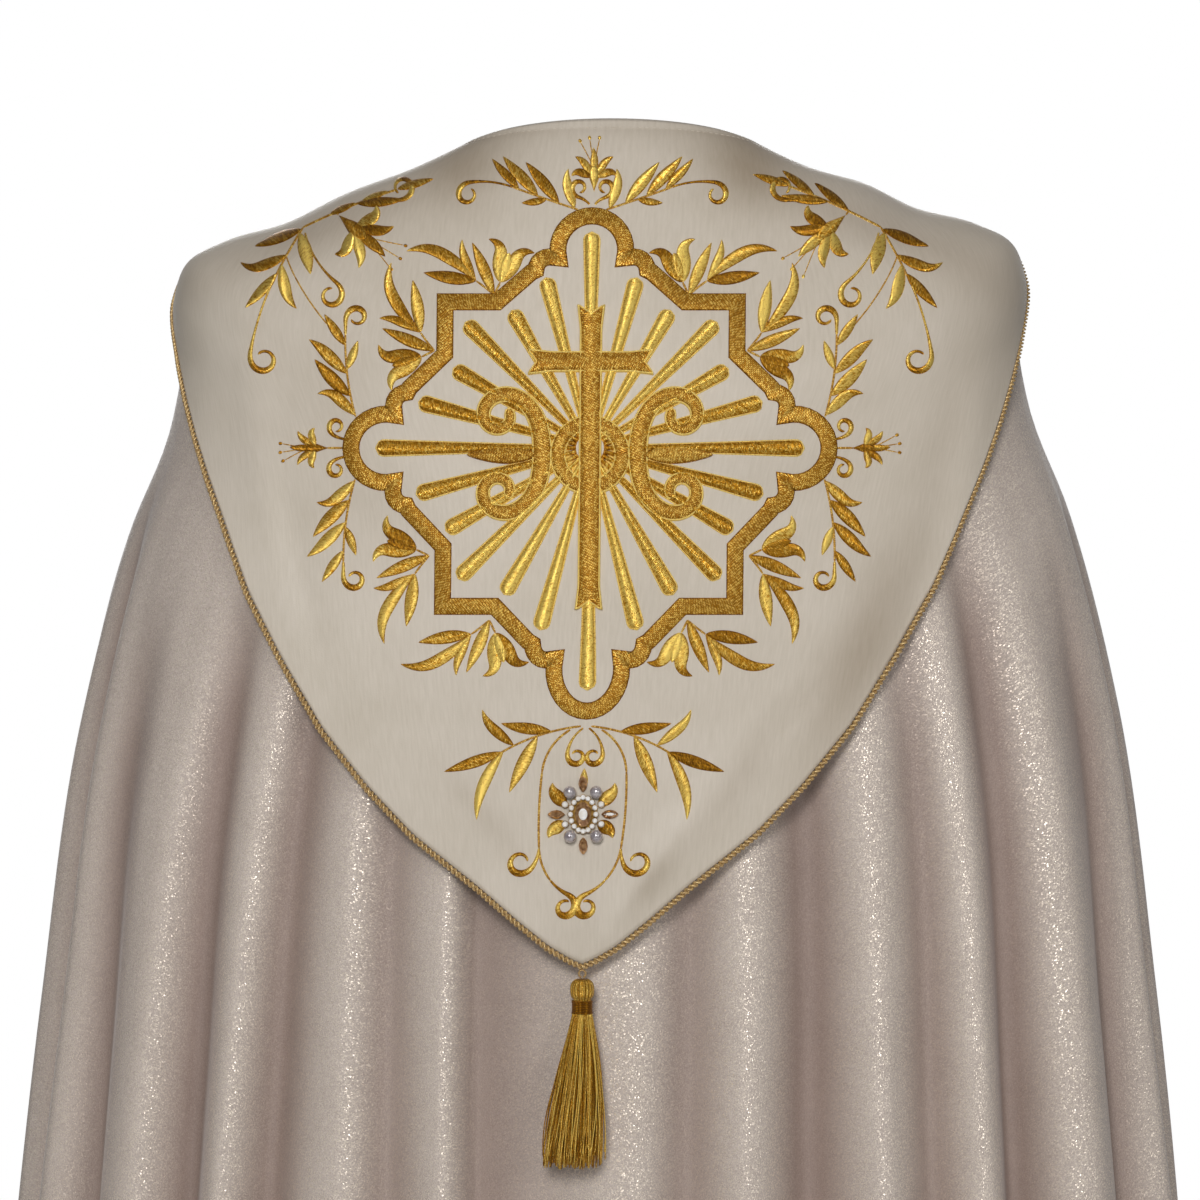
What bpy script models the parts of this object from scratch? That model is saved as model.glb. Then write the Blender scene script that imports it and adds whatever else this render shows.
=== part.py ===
"""A full-length cope: semicircular cloak, shield-shaped hood with a corded edge, tassel and jewel.

Metres, +Z up. The wearer faces -Y, so the hood hangs on the +Y side, and the wearer's left is +X.
The origin is the middle of the neck opening, at the height where the neckline crosses the shoulders.
"""

import math

import bmesh
import bpy
import numpy as np
from mathutils import Matrix, Vector

WALL = 0.0020  # thickness of each cloth, lining included
GAP = 0.0003  # between pieces sewn together

# The cloak on the wearer, without its folds. One row for each ring round the body: fall is how far down
# the cloth the ring lies, then the ring's widest point, its middle at the back and its middle in front,
# and the angle that each front edge keeps from the middle of the front.
RINGS = (
    # fall, side_x, side_z, back_y, back_z, front_y, front_z, edge_deg
    (0.000, 0.0900, 0.001, 0.068, 0.013, -0.086, -0.058, 7.0),
    (0.030, 0.1190, -0.013, 0.082, -0.013, -0.095, -0.086, 6.0),
    (0.070, 0.1560, -0.025, 0.097, -0.050, -0.105, -0.124, 4.6),
    (0.110, 0.1900, -0.041, 0.108, -0.089, -0.113, -0.163, 3.8),
    (0.148, 0.2270, -0.052, 0.116, -0.126, -0.119, -0.200, 3.2),
    (0.172, 0.2470, -0.064, 0.120, -0.150, -0.122, -0.224, 3.1),
    (0.190, 0.2525, -0.081, 0.122, -0.168, -0.125, -0.242, 3.0),
    (0.222, 0.2530, -0.114, 0.126, -0.200, -0.128, -0.273, 3.0),
    (0.260, 0.2600, -0.156, 0.130, -0.238, -0.133, -0.310, 3.0),
    (0.330, 0.2850, -0.221, 0.135, -0.308, -0.140, -0.378, 3.1),
    (0.450, 0.3150, -0.337, 0.141, -0.427, -0.150, -0.493, 3.5),
    (0.620, 0.3380, -0.506, 0.149, -0.597, -0.165, -0.655, 4.2),
    (0.820, 0.3600, -0.705, 0.164, -0.796, -0.185, -0.844, 5.2),
    (1.020, 0.3810, -0.904, 0.186, -0.995, -0.208, -1.031, 6.3),
    (1.220, 0.4030, -1.103, 0.213, -1.193, -0.234, -1.216, 7.6),
    (1.430, 0.4280, -1.312, 0.246, -1.402, -0.262, -1.405, 9.0),
)
FALL = RINGS[-1][0]
FULLNESS = 0.14  # how far the rings are squarer than an ellipse
SHOULDER_TILT = 0.024  # the right shoulder stands a little higher: metres of height per metre of width
BODY_SHIFT = 0.007  # the neckline sits this far to the right of the cloak's middle

# The pleats that the cloth falls into, one row each, from the right front round the back to the left
# front. A pleat is a valley with a crest on both sides: crest is the one that follows it.
FOLDS = (
    # valley_deg, crest_deg, depth_at_hem, first_fall, drift_deg
    (-167.0, -160.0, 0.030, 0.20, 1.0),
    (-153.5, -147.0, 0.040, 0.16, -1.0),
    (-140.5, -133.0, 0.034, 0.24, 1.5),
    (-127.0, -120.5, 0.043, 0.30, 0.0),
    (-113.0, -105.0, 0.036, 0.27, -1.5),
    (-97.0, -89.0, 0.041, 0.33, 1.0),
    (-81.0, -73.5, 0.045, 0.26, 0.0),
    (-64.5, -52.0, 0.039, 0.30, 1.0),
    (-42.6, -37.1, 0.050, 0.24, 5.0),
    (-31.8, -26.2, 0.037, 0.27, 6.0),
    (-19.1, -13.0, 0.047, 0.22, 6.0),
    (-7.7, -2.6, 0.034, 0.29, 4.0),
    (11.0, 13.9, 0.037, 0.26, -4.0),
    (19.3, 23.8, 0.032, 0.28, -5.0),
    (30.7, 36.1, 0.041, 0.24, 2.0),
    (41.0, 49.0, 0.047, 0.26, 0.0),
    (59.5, 67.5, 0.039, 0.31, 1.0),
    (75.0, 82.5, 0.046, 0.25, 0.0),
    (91.0, 98.5, 0.038, 0.34, 1.0),
    (106.5, 114.0, 0.044, 0.29, -1.0),
    (122.0, 129.0, 0.036, 0.26, 1.5),
    (135.5, 142.5, 0.042, 0.21, 0.0),
    (149.0, 156.0, 0.036, 0.25, -1.0),
    (162.5, 170.0, 0.033, 0.17, 1.0),
)
FIRST_CREST = -174.0
VALLEY_ROUND = 0.20  # the rounded bottom of a valley, as a share of the way up to its crest
CLOAK_FALLS = (0.0, 0.03, 0.07, 0.11, 0.145, 0.172, 0.195, 0.22, 0.26, 0.33, 0.43, 0.57, 0.75, 0.96, 1.19, FALL)

# The hood's outer edge from the shoulder tip down to the point: drop below the origin, half width.
HOOD_EDGE = (
    (0.126, 0.2500),
    (0.151, 0.2425),
    (0.175, 0.2345),
    (0.199, 0.2255),
    (0.226, 0.2140),
    (0.268, 0.1965),
    (0.305, 0.1755),
    (0.345, 0.1505),
    (0.378, 0.1230),
    (0.404, 0.0970),
    (0.434, 0.0580),
    (0.452, 0.0365),
    (0.466, 0.0185),
    (0.473, 0.0060),
    (0.4755, 0.0),
)
# From the shoulder tip the edge runs over to the front and tapers to the front edges: angle, fall.
HOOD_FRONT = (
    (76.0, 0.2180), (82.0, 0.2040), (88.0, 0.1880), (95.0, 0.1720),
    (106.0, 0.1520), (125.0, 0.1240), (150.0, 0.0920), (172.5, 0.0660),
)
HOOD_ANGLES = (0.0, 1.3, 2.8, 4.6, 6.8, 9.4, 12.5, 16.0, 20.0, 24.5, 29.5, 34.5, 40.0, 45.5, 51.0,
               56.0, 61.0, 65.5, 70.0, 74.0, 78.0, 82.0, 86.0, 90.0, 94.0, 98.0, 102.0, 107.0, 113.0,
               120.0, 128.0, 138.0, 149.0, 160.0, 172.5)
HOOD_SHARES = (0.0, 0.12, 0.25, 0.38, 0.5, 0.61, 0.71, 0.80, 0.88, 0.945, 1.0)
HOOD_LIFT = ((0.0, 0.0005), (0.02, 0.0018), (0.12, 0.0028), (0.2, 0.0042), (0.3, 0.0050), (0.5, 0.0100))
HOOD_SWING = 1.55  # degrees that the free part hangs towards the wearer's left
SWING_FROM, SWING_TO = 0.14, 0.36

CORD_RADIUS = 0.0013
CORD_GAP = 0.0005  # the cord leaves the cloth a little where the edge turns

BAND_LENGTH, BAND_FALLS, BAND_WALL, BAND_LIFT = 0.150, (0.090, 0.128), 0.0015, 0.0005

LOOP_HEIGHT, LOOP_WIDTH, LOOP_CORD = 0.0042, 0.0038, 0.0006
HEAD_RADIUS, HEAD_HEIGHT = 0.0066, 0.0115
BINDING_RADIUS, BINDING_HEIGHT = 0.0059, 0.0075
STRAND_RINGS = (1, 6, 12, 17, 22)
STRAND_LENGTH, STRAND_RADIUS = 0.087, 0.00042
SKIRT_ROOT, SKIRT_SPREAD = 0.0048, 0.0165
SKIRT_LEAN, SKIRT_OUT, SKIRT_FLAT = 0.0045, 0.0060, 0.62  # it lies against the cloth behind it

BROOCH_DROP, BROOCH_SHIFT = 0.3915, 0.0
BROOCH_RADII, BROOCH_HEIGHT = (0.0080, 0.0105), 0.0030
STONE_RADII, STONE_HEIGHT = (0.0033, 0.0060), 0.0030
PEARL_RADIUS = 0.0034
PEARL_OFFSETS = ((0.0075, 0.0125), (-0.0075, 0.0125), (0.0075, -0.0125), (-0.0075, -0.0125))
NAVETTE_SIZE = (0.0022, 0.0044, 0.0026)  # half width, half length, height
NAVETTE_PLACES = ((0.0, 0.0180, 0.0), (0.0, -0.0185, 0.0), (0.0155, 0.0, 90.0), (-0.0155, 0.0, 90.0))


def material(name, srgb, roughness, metallic=0.0):
    """A plain material of one colour."""
    made = bpy.data.materials.new(name)
    made.use_nodes = True
    shader = made.node_tree.nodes["Principled BSDF"]
    linear = [((c / 255 + 0.055) / 1.055) ** 2.4 for c in srgb]
    shader.inputs["Base Color"].default_value = (*linear, 1.0)
    shader.inputs["Roughness"].default_value = roughness
    shader.inputs["Metallic"].default_value = metallic
    return made


def smooth(low, high, value):
    """0 below low, 1 above high, and an even S between."""
    t = np.clip((value - low) / (high - low), 0.0, 1.0)
    return t * t * (3.0 - 2.0 * t)


def through(rows, value, column=1):
    """A smooth curve through one column of a table, by its first column."""
    x = np.array([row[0] for row in rows])
    y = np.array([row[column] for row in rows])
    slope = np.gradient(y, x)
    step = np.diff(y) / np.diff(x)
    slope[0], slope[-1] = step[0], step[-1]
    value = np.clip(value, x[0], x[-1])
    i = np.clip(np.searchsorted(x, value, side="right") - 1, 0, len(x) - 2)
    h = x[i + 1] - x[i]
    t = (value - x[i]) / h
    return (
        (1 + 2 * t) * (1 - t) ** 2 * y[i]
        + t * (1 - t) ** 2 * h * slope[i]
        + t * t * (3 - 2 * t) * y[i + 1]
        + t * t * (t - 1) * h * slope[i + 1]
    )


def body_form(fall, angle):
    """Points of the cloak without folds, at a fall down the cloth and an angle from the middle of the back."""
    fall, angle = np.broadcast_arrays(fall, np.radians(angle))
    sine, cosine = np.sin(angle), np.cos(angle)
    side_x, side_z, back_y, back_z, front_y, front_z = (through(RINGS, fall, c) for c in range(1, 7))
    depth = np.where(cosine > 0, back_y, -front_y)
    middle = np.where(cosine > 0, back_z, front_z)
    x = side_x * sine * (1 + FULLNESS * cosine**2)
    y = depth * cosine * (1 + FULLNESS * sine**2)
    z = side_z * sine**2 + middle * cosine**2
    z -= SHOULDER_TILT * x * smooth(0.0, 0.1, fall) * (1.0 - smooth(0.25, 0.8, fall))
    return np.stack([x + BODY_SHIFT * smooth(0.0, 0.13, fall), y, z], axis=-1)


def form_normal(fall, angle):
    """The unit vector that leaves the unfolded cloak outwards."""
    along = body_form(fall + 0.002, angle) - body_form(fall - 0.002, angle)
    round_body = body_form(fall, np.asarray(angle) + 0.5) - body_form(fall, np.asarray(angle) - 0.5)
    normal = np.cross(round_body, along)
    return normal / np.linalg.norm(normal, axis=-1, keepdims=True)


def pleat(share):
    """Depth across a pleat by the share of the way from valley to crest: a narrow valley and a round crest."""
    way = np.sqrt(share * share + VALLEY_ROUND**2) - VALLEY_ROUND
    return 1.0 - np.sin(way / (math.sqrt(1.0 + VALLEY_ROUND**2) - VALLEY_ROUND) * math.pi / 2)


def fold_depth(fall, angle):
    """How far the cloth lies inside the unfolded form."""
    fall, angle = np.broadcast_arrays(fall, angle)
    depth = np.zeros(fall.shape)
    before = FIRST_CREST
    for valley, crest, at_hem, first, drift in FOLDS:
        down = np.clip((fall - first) / (FALL - first), 0.0, 1.0)
        grown = at_hem * down * (2.0 - down) * smooth(0.0, 0.10, down)
        turned = angle - drift * (fall - 0.55)
        side = np.where(turned < valley, valley - before, crest - valley)
        t = np.clip(np.abs(turned - valley) / side, 0.0, 1.0)
        depth += grown * pleat(t)
        before = crest
    return depth


def cloak_points(fall, angle):
    """Outer points of the cloak, folds and all."""
    return body_form(fall, angle) - form_normal(fall, angle) * fold_depth(fall, angle)[..., None]


def column_angles(fall):
    """Angles of the cloak's columns at rows of fall: crest, flank and valley of each pleat as it drifts."""
    columns, before = [-180.0, -177.0], FIRST_CREST
    for valley, crest, *_ in FOLDS:
        columns += [before + (valley - before) * share for share in (0.0, 0.42, 0.78)]
        columns += [valley + (crest - valley) * share for share in (0.0, 0.22, 0.58)]
        before = crest
    columns = np.array(columns + [before, 175.0, 180.0])
    drift = np.interp(columns, [-180.0, *(row[0] for row in FOLDS), 180.0], [0.0, *(row[4] for row in FOLDS), 0.0])
    angle = columns + drift * (fall - 0.55)
    beyond = np.maximum(np.abs(angle) - 160.0, 0.0)
    return np.sign(angle) * (np.abs(angle) - beyond * through(RINGS, fall, 7) / 20.0)


def grid_normals(points):
    """Outward unit normals of a grid whose rows run down the cloth and whose columns run round it."""
    down, across = np.gradient(points, axis=0), np.gradient(points, axis=1)
    normal = np.cross(across, down)
    return normal / np.linalg.norm(normal, axis=-1, keepdims=True)


def finished(name, mesh, made_of, sharp=40.0):
    """An object of a bmesh, its faces out and shaded smooth but at its edges."""
    bmesh.ops.recalc_face_normals(mesh, faces=mesh.faces)
    data = bpy.data.meshes.new(name)
    mesh.to_mesh(data)
    mesh.free()
    data.materials.append(made_of)
    data.shade_smooth()
    data.set_sharp_from_angle(angle=math.radians(sharp))
    piece = bpy.data.objects.new(name, data)
    bpy.context.collection.objects.link(piece)
    return piece


def cloth_wall(name, outer, thickness, made_of):
    """A closed wall of cloth under a grid of outer points."""
    inner = outer - grid_normals(outer) * thickness
    rows, columns = outer.shape[:2]
    mesh = bmesh.new()
    sheets = [[[mesh.verts.new(p) for p in row] for row in sheet] for sheet in (outer, inner)]
    for sheet in sheets:
        for r in range(rows - 1):
            for c in range(columns - 1):
                mesh.faces.new((sheet[r][c], sheet[r][c + 1], sheet[r + 1][c + 1], sheet[r + 1][c]))
    border = (
        [(0, c) for c in range(columns)]
        + [(r, columns - 1) for r in range(1, rows)]
        + [(rows - 1, c) for c in range(columns - 2, -1, -1)]
        + [(r, 0) for r in range(rows - 2, 0, -1)]
    )
    for (r, c), (next_r, next_c) in zip(border, border[1:] + border[:1]):
        mesh.faces.new(
            (sheets[0][r][c], sheets[1][r][c], sheets[1][next_r][next_c], sheets[0][next_r][next_c])
        )
    return finished(name, mesh, made_of, 50.0)


def tube(name, path, radius, sides, made_of):
    """A closed cord along a path."""
    path = [Vector(p) for p in path]
    mesh = bmesh.new()
    rings = []
    along = (path[1] - path[0]).normalized()
    across = along.orthogonal().normalized()
    for i, point in enumerate(path):
        ahead = (path[min(i + 1, len(path) - 1)] - path[max(i - 1, 0)]).normalized()
        across = (across - ahead * across.dot(ahead)).normalized()
        up = ahead.cross(across)
        turns = [2 * math.pi * k / sides for k in range(sides)]
        rings.append(
            [mesh.verts.new(point + (across * math.cos(t) + up * math.sin(t)) * radius) for t in turns]
        )
    for first, second in zip(rings, rings[1:]):
        for k in range(sides):
            mesh.faces.new((first[k], first[(k + 1) % sides], second[(k + 1) % sides], second[k]))
    mesh.faces.new(rings[0][::-1])
    mesh.faces.new(rings[-1])
    return finished(name, mesh, made_of)


def cloak(made_of):
    """The semicircular cloth from neckline to hem, its two front edges apart."""
    fall = np.array(CLOAK_FALLS)[:, None]
    return cloth_wall("cope_cloth", cloak_points(fall, column_angles(fall)), WALL, made_of)


def hood_edge_fall(angle):
    """The fall of the hood's outer edge at an angle, before it swings."""
    if angle >= HOOD_FRONT[0][0]:
        return float(through(HOOD_FRONT, angle))
    low, high = 0.15, 0.60
    for _ in range(40):
        middle = 0.5 * (low + high)
        x, _, z = body_form(middle, angle) + form_normal(middle, angle) * through(HOOD_LIFT, middle)
        x -= BODY_SHIFT
        half = np.interp(-z, [row[0] for row in HOOD_EDGE], [row[1] for row in HOOD_EDGE])
        inside = x < half if angle > 0 else -z < HOOD_EDGE[-1][0]
        low, high = (middle, high) if inside else (low, middle)
    return low


def hood_point(fall, angle, lift=0.0):
    """A point of the hood's inner face, moved out by lift."""
    turned = angle + HOOD_SWING * smooth(SWING_FROM, SWING_TO, fall) * (np.abs(angle) < 120)
    out = np.asarray(through(HOOD_LIFT, fall) + lift)[..., None]
    return body_form(fall, turned) + form_normal(fall, turned) * out


def hood_angles():
    return np.array([-a for a in HOOD_ANGLES[:0:-1]] + list(HOOD_ANGLES))


def hood(made_of):
    """The shield, from the neck seam down to its corded edge."""
    angles = hood_angles()
    edge = np.array([hood_edge_fall(abs(a)) for a in angles])
    fall = np.array(HOOD_SHARES)[:, None] * edge[None, :]
    angle = angles[None, :] + 0.0 * fall
    return cloth_wall("hood", hood_point(fall, angle, WALL), WALL, made_of)


def hood_cord(made_of):
    """The cord that lies against the hood's outer edge."""
    angles = hood_angles()
    edge = np.array([hood_edge_fall(abs(a)) for a in angles])
    rim = hood_point(edge, angles, WALL / 2)
    inside = hood_point(edge - 0.01, angles, WALL / 2)
    along = np.gradient(rim, axis=0)
    out = rim - inside
    out -= along * (np.sum(out * along, axis=1) / np.sum(along * along, axis=1))[:, None]
    out /= np.linalg.norm(out, axis=1)[:, None]
    return tube("hood_cord", rim + out * (CORD_RADIUS + CORD_GAP), CORD_RADIUS, 6, made_of)


def clasp_band(made_of):
    """A plain band across the two front edges at the chest."""
    falls = np.linspace(*BAND_FALLS, 3)
    width = through(RINGS, float(np.mean(BAND_FALLS)), 1)
    reach = math.degrees(math.asin(BAND_LENGTH / 2 / width))
    angles = np.linspace(180.0 - reach, 180.0 + reach, 13)
    fall = falls[:, None] + 0.0 * angles[None, :]
    points = body_form(fall, angles[None, :])
    out = form_normal(fall, angles[None, :]) * (BAND_WALL + BAND_LIFT)
    return cloth_wall("clasp_band", points + out, BAND_WALL, made_of)


def tassel_top():
    """Where the tassel hangs from: just below the point of the hood."""
    point = hood_point(hood_edge_fall(0.0), 0.0, WALL / 2)
    return Vector(point) + Vector((0.0, 0.0, -2 * CORD_RADIUS - 2 * GAP))


def tassel_loop(made_of):
    """The cord loop between the hood's point and the tassel's head."""
    top = tassel_top()
    turns = [math.radians(-68 + 316 * k / 12) for k in range(13)]
    path = [
        top + Vector((LOOP_WIDTH / 2 * math.cos(t), 0.0, (math.sin(t) - 1) * LOOP_HEIGHT / 2 - LOOP_CORD))
        for t in turns
    ]
    return tube("tassel_loop", path, LOOP_CORD, 6, made_of)


def tassel(made_of):
    """Head, binding and skirt, its strands apart but rooted in the binding."""
    top = tassel_top() + Vector((0.0, 0.0, -LOOP_HEIGHT - 2 * LOOP_CORD - GAP))
    neck = -HEAD_HEIGHT
    foot = neck - BINDING_HEIGHT
    profile = (
        (0.0, 0.0),
        (HEAD_RADIUS * 0.55, -0.0006),
        (HEAD_RADIUS * 0.92, -0.0030),
        (HEAD_RADIUS, -0.0065),
        (HEAD_RADIUS * 0.93, neck + 0.0006),
        (BINDING_RADIUS, neck),
        (BINDING_RADIUS, foot),
        (0.0, foot),
    )
    head = bmesh.new()
    line = [head.verts.new(top + Vector((r, 0.0, z))) for r, z in profile]
    edges = [head.edges.new(pair) for pair in zip(line, line[1:])]
    bmesh.ops.spin(head, geom=line + edges, cent=top, axis=(0, 0, 1), angle=2 * math.pi, steps=16)
    bmesh.ops.remove_doubles(head, verts=head.verts, dist=1e-5)
    body = finished("tassel", head, made_of)

    strands = bmesh.new()
    ring_count = len(STRAND_RINGS) - 1
    for ring, count in enumerate(STRAND_RINGS):
        for k in range(count):
            turn = 2 * math.pi * (k + 0.37 * ring) / count
            share = ring / ring_count
            ragged = 1.0 - 0.055 * ((7 * k + 3 * ring) % 5) / 4 * (0.4 + share)
            rings = []
            for level in (0.0, 0.2, 0.5, 1.0):
                drop = level * STRAND_LENGTH * ragged
                spread = SKIRT_ROOT + (SKIRT_SPREAD - SKIRT_ROOT) * math.sin(level * math.pi / 2) ** 0.9
                wave = 0.0006 * math.sin(2.4 * k + ring) * level
                centre = top + Vector(
                    (
                        share * spread * math.cos(turn) + SKIRT_LEAN * level**1.5 + wave,
                        share * spread * (1.0 - (1.0 - SKIRT_FLAT) * level) * math.sin(turn) + SKIRT_OUT * level,
                        foot + 0.0012 - drop,
                    )
                )
                corners = [turn + 2 * math.pi * c / 3 for c in range(3)]
                rings.append(
                    [
                        strands.verts.new(
                            centre + Vector((math.cos(c), math.sin(c), 0.0)) * STRAND_RADIUS
                        )
                        for c in corners
                    ]
                )
            for first, second in zip(rings, rings[1:]):
                for c in range(3):
                    strands.faces.new((first[c], second[c], second[(c + 1) % 3], first[(c + 1) % 3]))
            strands.faces.new(rings[0])
            strands.faces.new(rings[-1][::-1])
    skirt = finished("tassel_strands", strands, made_of)
    skirt.hide_render = True
    skirt.display_type = "WIRE"
    joined = body.modifiers.new("strands", "BOOLEAN")
    joined.operation, joined.solver, joined.object = "UNION", "EXACT", skirt
    return body


def jewel_frame():
    """The brooch's place on the hood: axes to the right as it is looked at, up the hood, and out of it."""
    low, high = 0.30, 0.50
    for _ in range(40):
        middle = 0.5 * (low + high)
        point = hood_point(middle, 0.0, WALL)
        low, high = (middle, high) if -point[2] < BROOCH_DROP else (low, middle)
    across = Vector(hood_point(middle, -3.0, WALL) - hood_point(middle, 3.0, WALL)).normalized()
    up = Vector(hood_point(middle - 0.015, 0.0, WALL) - hood_point(middle + 0.015, 0.0, WALL)).normalized()
    out = across.cross(up).normalized()
    up = out.cross(across)
    place = Matrix((across, up, out)).transposed().to_4x4()
    place.translation = Vector(point) + across * BROOCH_SHIFT
    return place


def dome(name, radii, height, sides, made_of, place, levels=(0.0, 0.45, 0.8, 1.0)):
    """A flat-backed oval stone: its rings rise and close towards the top."""
    mesh = bmesh.new()
    rings = []
    for level in levels[:-1]:
        shrink = math.cos(level * math.pi / 2)
        rings.append(
            [
                mesh.verts.new(
                    (
                        radii[0] * shrink * math.cos(2 * math.pi * k / sides),
                        radii[1] * shrink * math.sin(2 * math.pi * k / sides),
                        GAP + height * (0.12 + 0.88 * math.sin(level * math.pi / 2)),
                    )
                )
                for k in range(sides)
            ]
        )
    base = bmesh.ops.create_circle(mesh, cap_ends=False, segments=sides, radius=1.0)["verts"]
    for k, vertex in enumerate(base):
        turn = 2 * math.pi * k / sides
        vertex.co = (radii[0] * math.cos(turn), radii[1] * math.sin(turn), GAP)
    rings.insert(0, base)
    for edge in [e for e in mesh.edges if e.is_wire]:
        mesh.edges.remove(edge)
    for first, second in zip(rings, rings[1:]):
        for k in range(sides):
            mesh.faces.new((first[k], first[(k + 1) % sides], second[(k + 1) % sides], second[k]))
    mesh.faces.new(rings[0][::-1])
    mesh.faces.new(rings[-1])
    bmesh.ops.transform(mesh, matrix=place, verts=mesh.verts)
    return finished(name, mesh, made_of)


def jewel(setting, glass, topaz, pearl):
    """The brooch, with pearls at its corners and pointed stones between them."""
    place = jewel_frame()
    dome("brooch", BROOCH_RADII, BROOCH_HEIGHT, 20, setting, place)
    stone = place @ Matrix.Translation((0.0, 0.0, BROOCH_HEIGHT))
    dome("centre_stone", STONE_RADII, STONE_HEIGHT, 12, glass, stone, (0.0, 0.4, 0.7, 1.0))
    for i, (x, y) in enumerate(PEARL_OFFSETS, 1):
        mesh = bmesh.new()
        bmesh.ops.create_uvsphere(mesh, u_segments=10, v_segments=8, radius=PEARL_RADIUS)
        spot = place @ Matrix.Translation((x, y, PEARL_RADIUS + GAP))
        bmesh.ops.transform(mesh, matrix=spot, verts=mesh.verts)
        finished(f"pearl_{i}", mesh, pearl)
    for i, (x, y, turn) in enumerate(NAVETTE_PLACES, 1):
        mesh = bmesh.new()
        width, length, height = NAVETTE_SIZE
        outline = [
            (width * math.sin(t) * abs(math.sin(t)) ** 0.5, length * math.cos(t))
            for t in (2 * math.pi * k / 8 for k in range(8))
        ]
        low = [mesh.verts.new((a, b, GAP)) for a, b in outline]
        middle = [mesh.verts.new((a, b, GAP + 0.4 * height)) for a, b in outline]
        table = [mesh.verts.new((0.5 * a, 0.55 * b, GAP + height)) for a, b in outline]
        for first, second in ((low, middle), (middle, table)):
            for k in range(8):
                mesh.faces.new((first[k], first[(k + 1) % 8], second[(k + 1) % 8], second[k]))
        mesh.faces.new(low[::-1])
        mesh.faces.new(table)
        spot = place @ Matrix.Translation((x, y, 0.0)) @ Matrix.Rotation(math.radians(turn), 4, "Z")
        bmesh.ops.transform(mesh, matrix=spot, verts=mesh.verts)
        finished(f"navette_{i}", mesh, topaz, 20.0)


def main():
    for piece in list(bpy.data.objects):
        bpy.data.objects.remove(piece, do_unlink=True)
    lurex = material("metallic_lurex_cloth", (181, 170, 165), 0.45)
    ivory = material("ivory_satin", (212, 205, 192), 0.5)
    gold_cord = material("gold_cord", (190, 160, 100), 0.4)
    gold_thread = material("gold_rayon", (176, 128, 44), 0.45)
    gilt = material("gilt_setting", (214, 196, 150), 0.3, 1.0)
    glass = material("crystal", (236, 232, 224), 0.1)
    topaz = material("topaz_glass", (190, 140, 90), 0.1)
    pearl = material("pearl", (226, 219, 210), 0.25)
    cloak(lurex)
    hood(ivory)
    hood_cord(gold_cord)
    clasp_band(lurex)
    tassel_loop(gold_cord)
    tassel(gold_thread)
    jewel(gilt, glass, topaz, pearl)


main()
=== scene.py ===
"""A full-length cope with a shield-shaped hood: cloth, gold needlework, jewel and tassel.

Metres, +Z up. The wearer faces -Y, so the hood hangs on the +Y side, and the wearer's left is +X.
"""

import logging
import math
from dataclasses import dataclass, field
from enum import Enum
from functools import partial
from typing import Callable, Iterator, Sequence

import bmesh
import bpy
import numpy as np
from mathutils import Matrix, Vector
from mathutils.bvhtree import BVHTree
from mathutils.interpolate import poly_3d_calc


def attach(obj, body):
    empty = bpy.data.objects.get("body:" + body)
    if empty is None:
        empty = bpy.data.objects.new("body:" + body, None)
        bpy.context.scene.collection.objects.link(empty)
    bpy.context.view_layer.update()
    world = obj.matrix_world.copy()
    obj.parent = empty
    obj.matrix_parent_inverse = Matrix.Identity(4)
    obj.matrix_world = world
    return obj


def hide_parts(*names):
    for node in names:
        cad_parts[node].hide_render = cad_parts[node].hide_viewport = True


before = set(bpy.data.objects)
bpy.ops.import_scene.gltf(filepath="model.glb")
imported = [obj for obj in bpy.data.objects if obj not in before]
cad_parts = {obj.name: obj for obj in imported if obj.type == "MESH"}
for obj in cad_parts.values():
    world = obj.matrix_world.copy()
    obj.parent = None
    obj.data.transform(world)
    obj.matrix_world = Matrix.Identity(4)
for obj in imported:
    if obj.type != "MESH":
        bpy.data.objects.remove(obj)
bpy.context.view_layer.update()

Array = np.ndarray
Mesh = bmesh.types.BMesh
Material = bpy.types.Material
Piece = bpy.types.Object
Place = Callable[[Array, Array], Array]
Add = Callable[..., bpy.types.NodeSocket]  # add_node for one tree
Triple = tuple[float, float, float]

log = logging.getLogger("cope")
MM = 0.001
NECK_CUT = 0.10  # radius of the neck's cut in the flat cloth
EYE: Triple = (0.007, 2.12, -0.27)  # the camera's place, from which the needlework's layout is projected


# --- Materials -------------------------------------------------------------------------------------------


def linear(hex_colour: str) -> tuple[float, float, float, float]:
    """Turns an sRGB hex colour into linear light, with an alpha of 1."""
    channels = [int(hex_colour[i : i + 2], 16) / 255 for i in (1, 3, 5)]
    return (*(c / 12.92 if c < 0.04045 else ((c + 0.055) / 1.055) ** 2.4 for c in channels), 1.0)


def connect(tree: bpy.types.NodeTree, node: bpy.types.Node, sockets: dict) -> None:
    """Sets a node's inputs.

    Args:
        tree: the node tree.
        node: the node.
        sockets: its inputs, by name or index, with their values or the outputs that feed them.
    """
    for name, value in sockets.items():
        if isinstance(value, bpy.types.NodeSocket):
            tree.links.new(value, node.inputs[name])
        else:
            node.inputs[name].default_value = value


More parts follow.
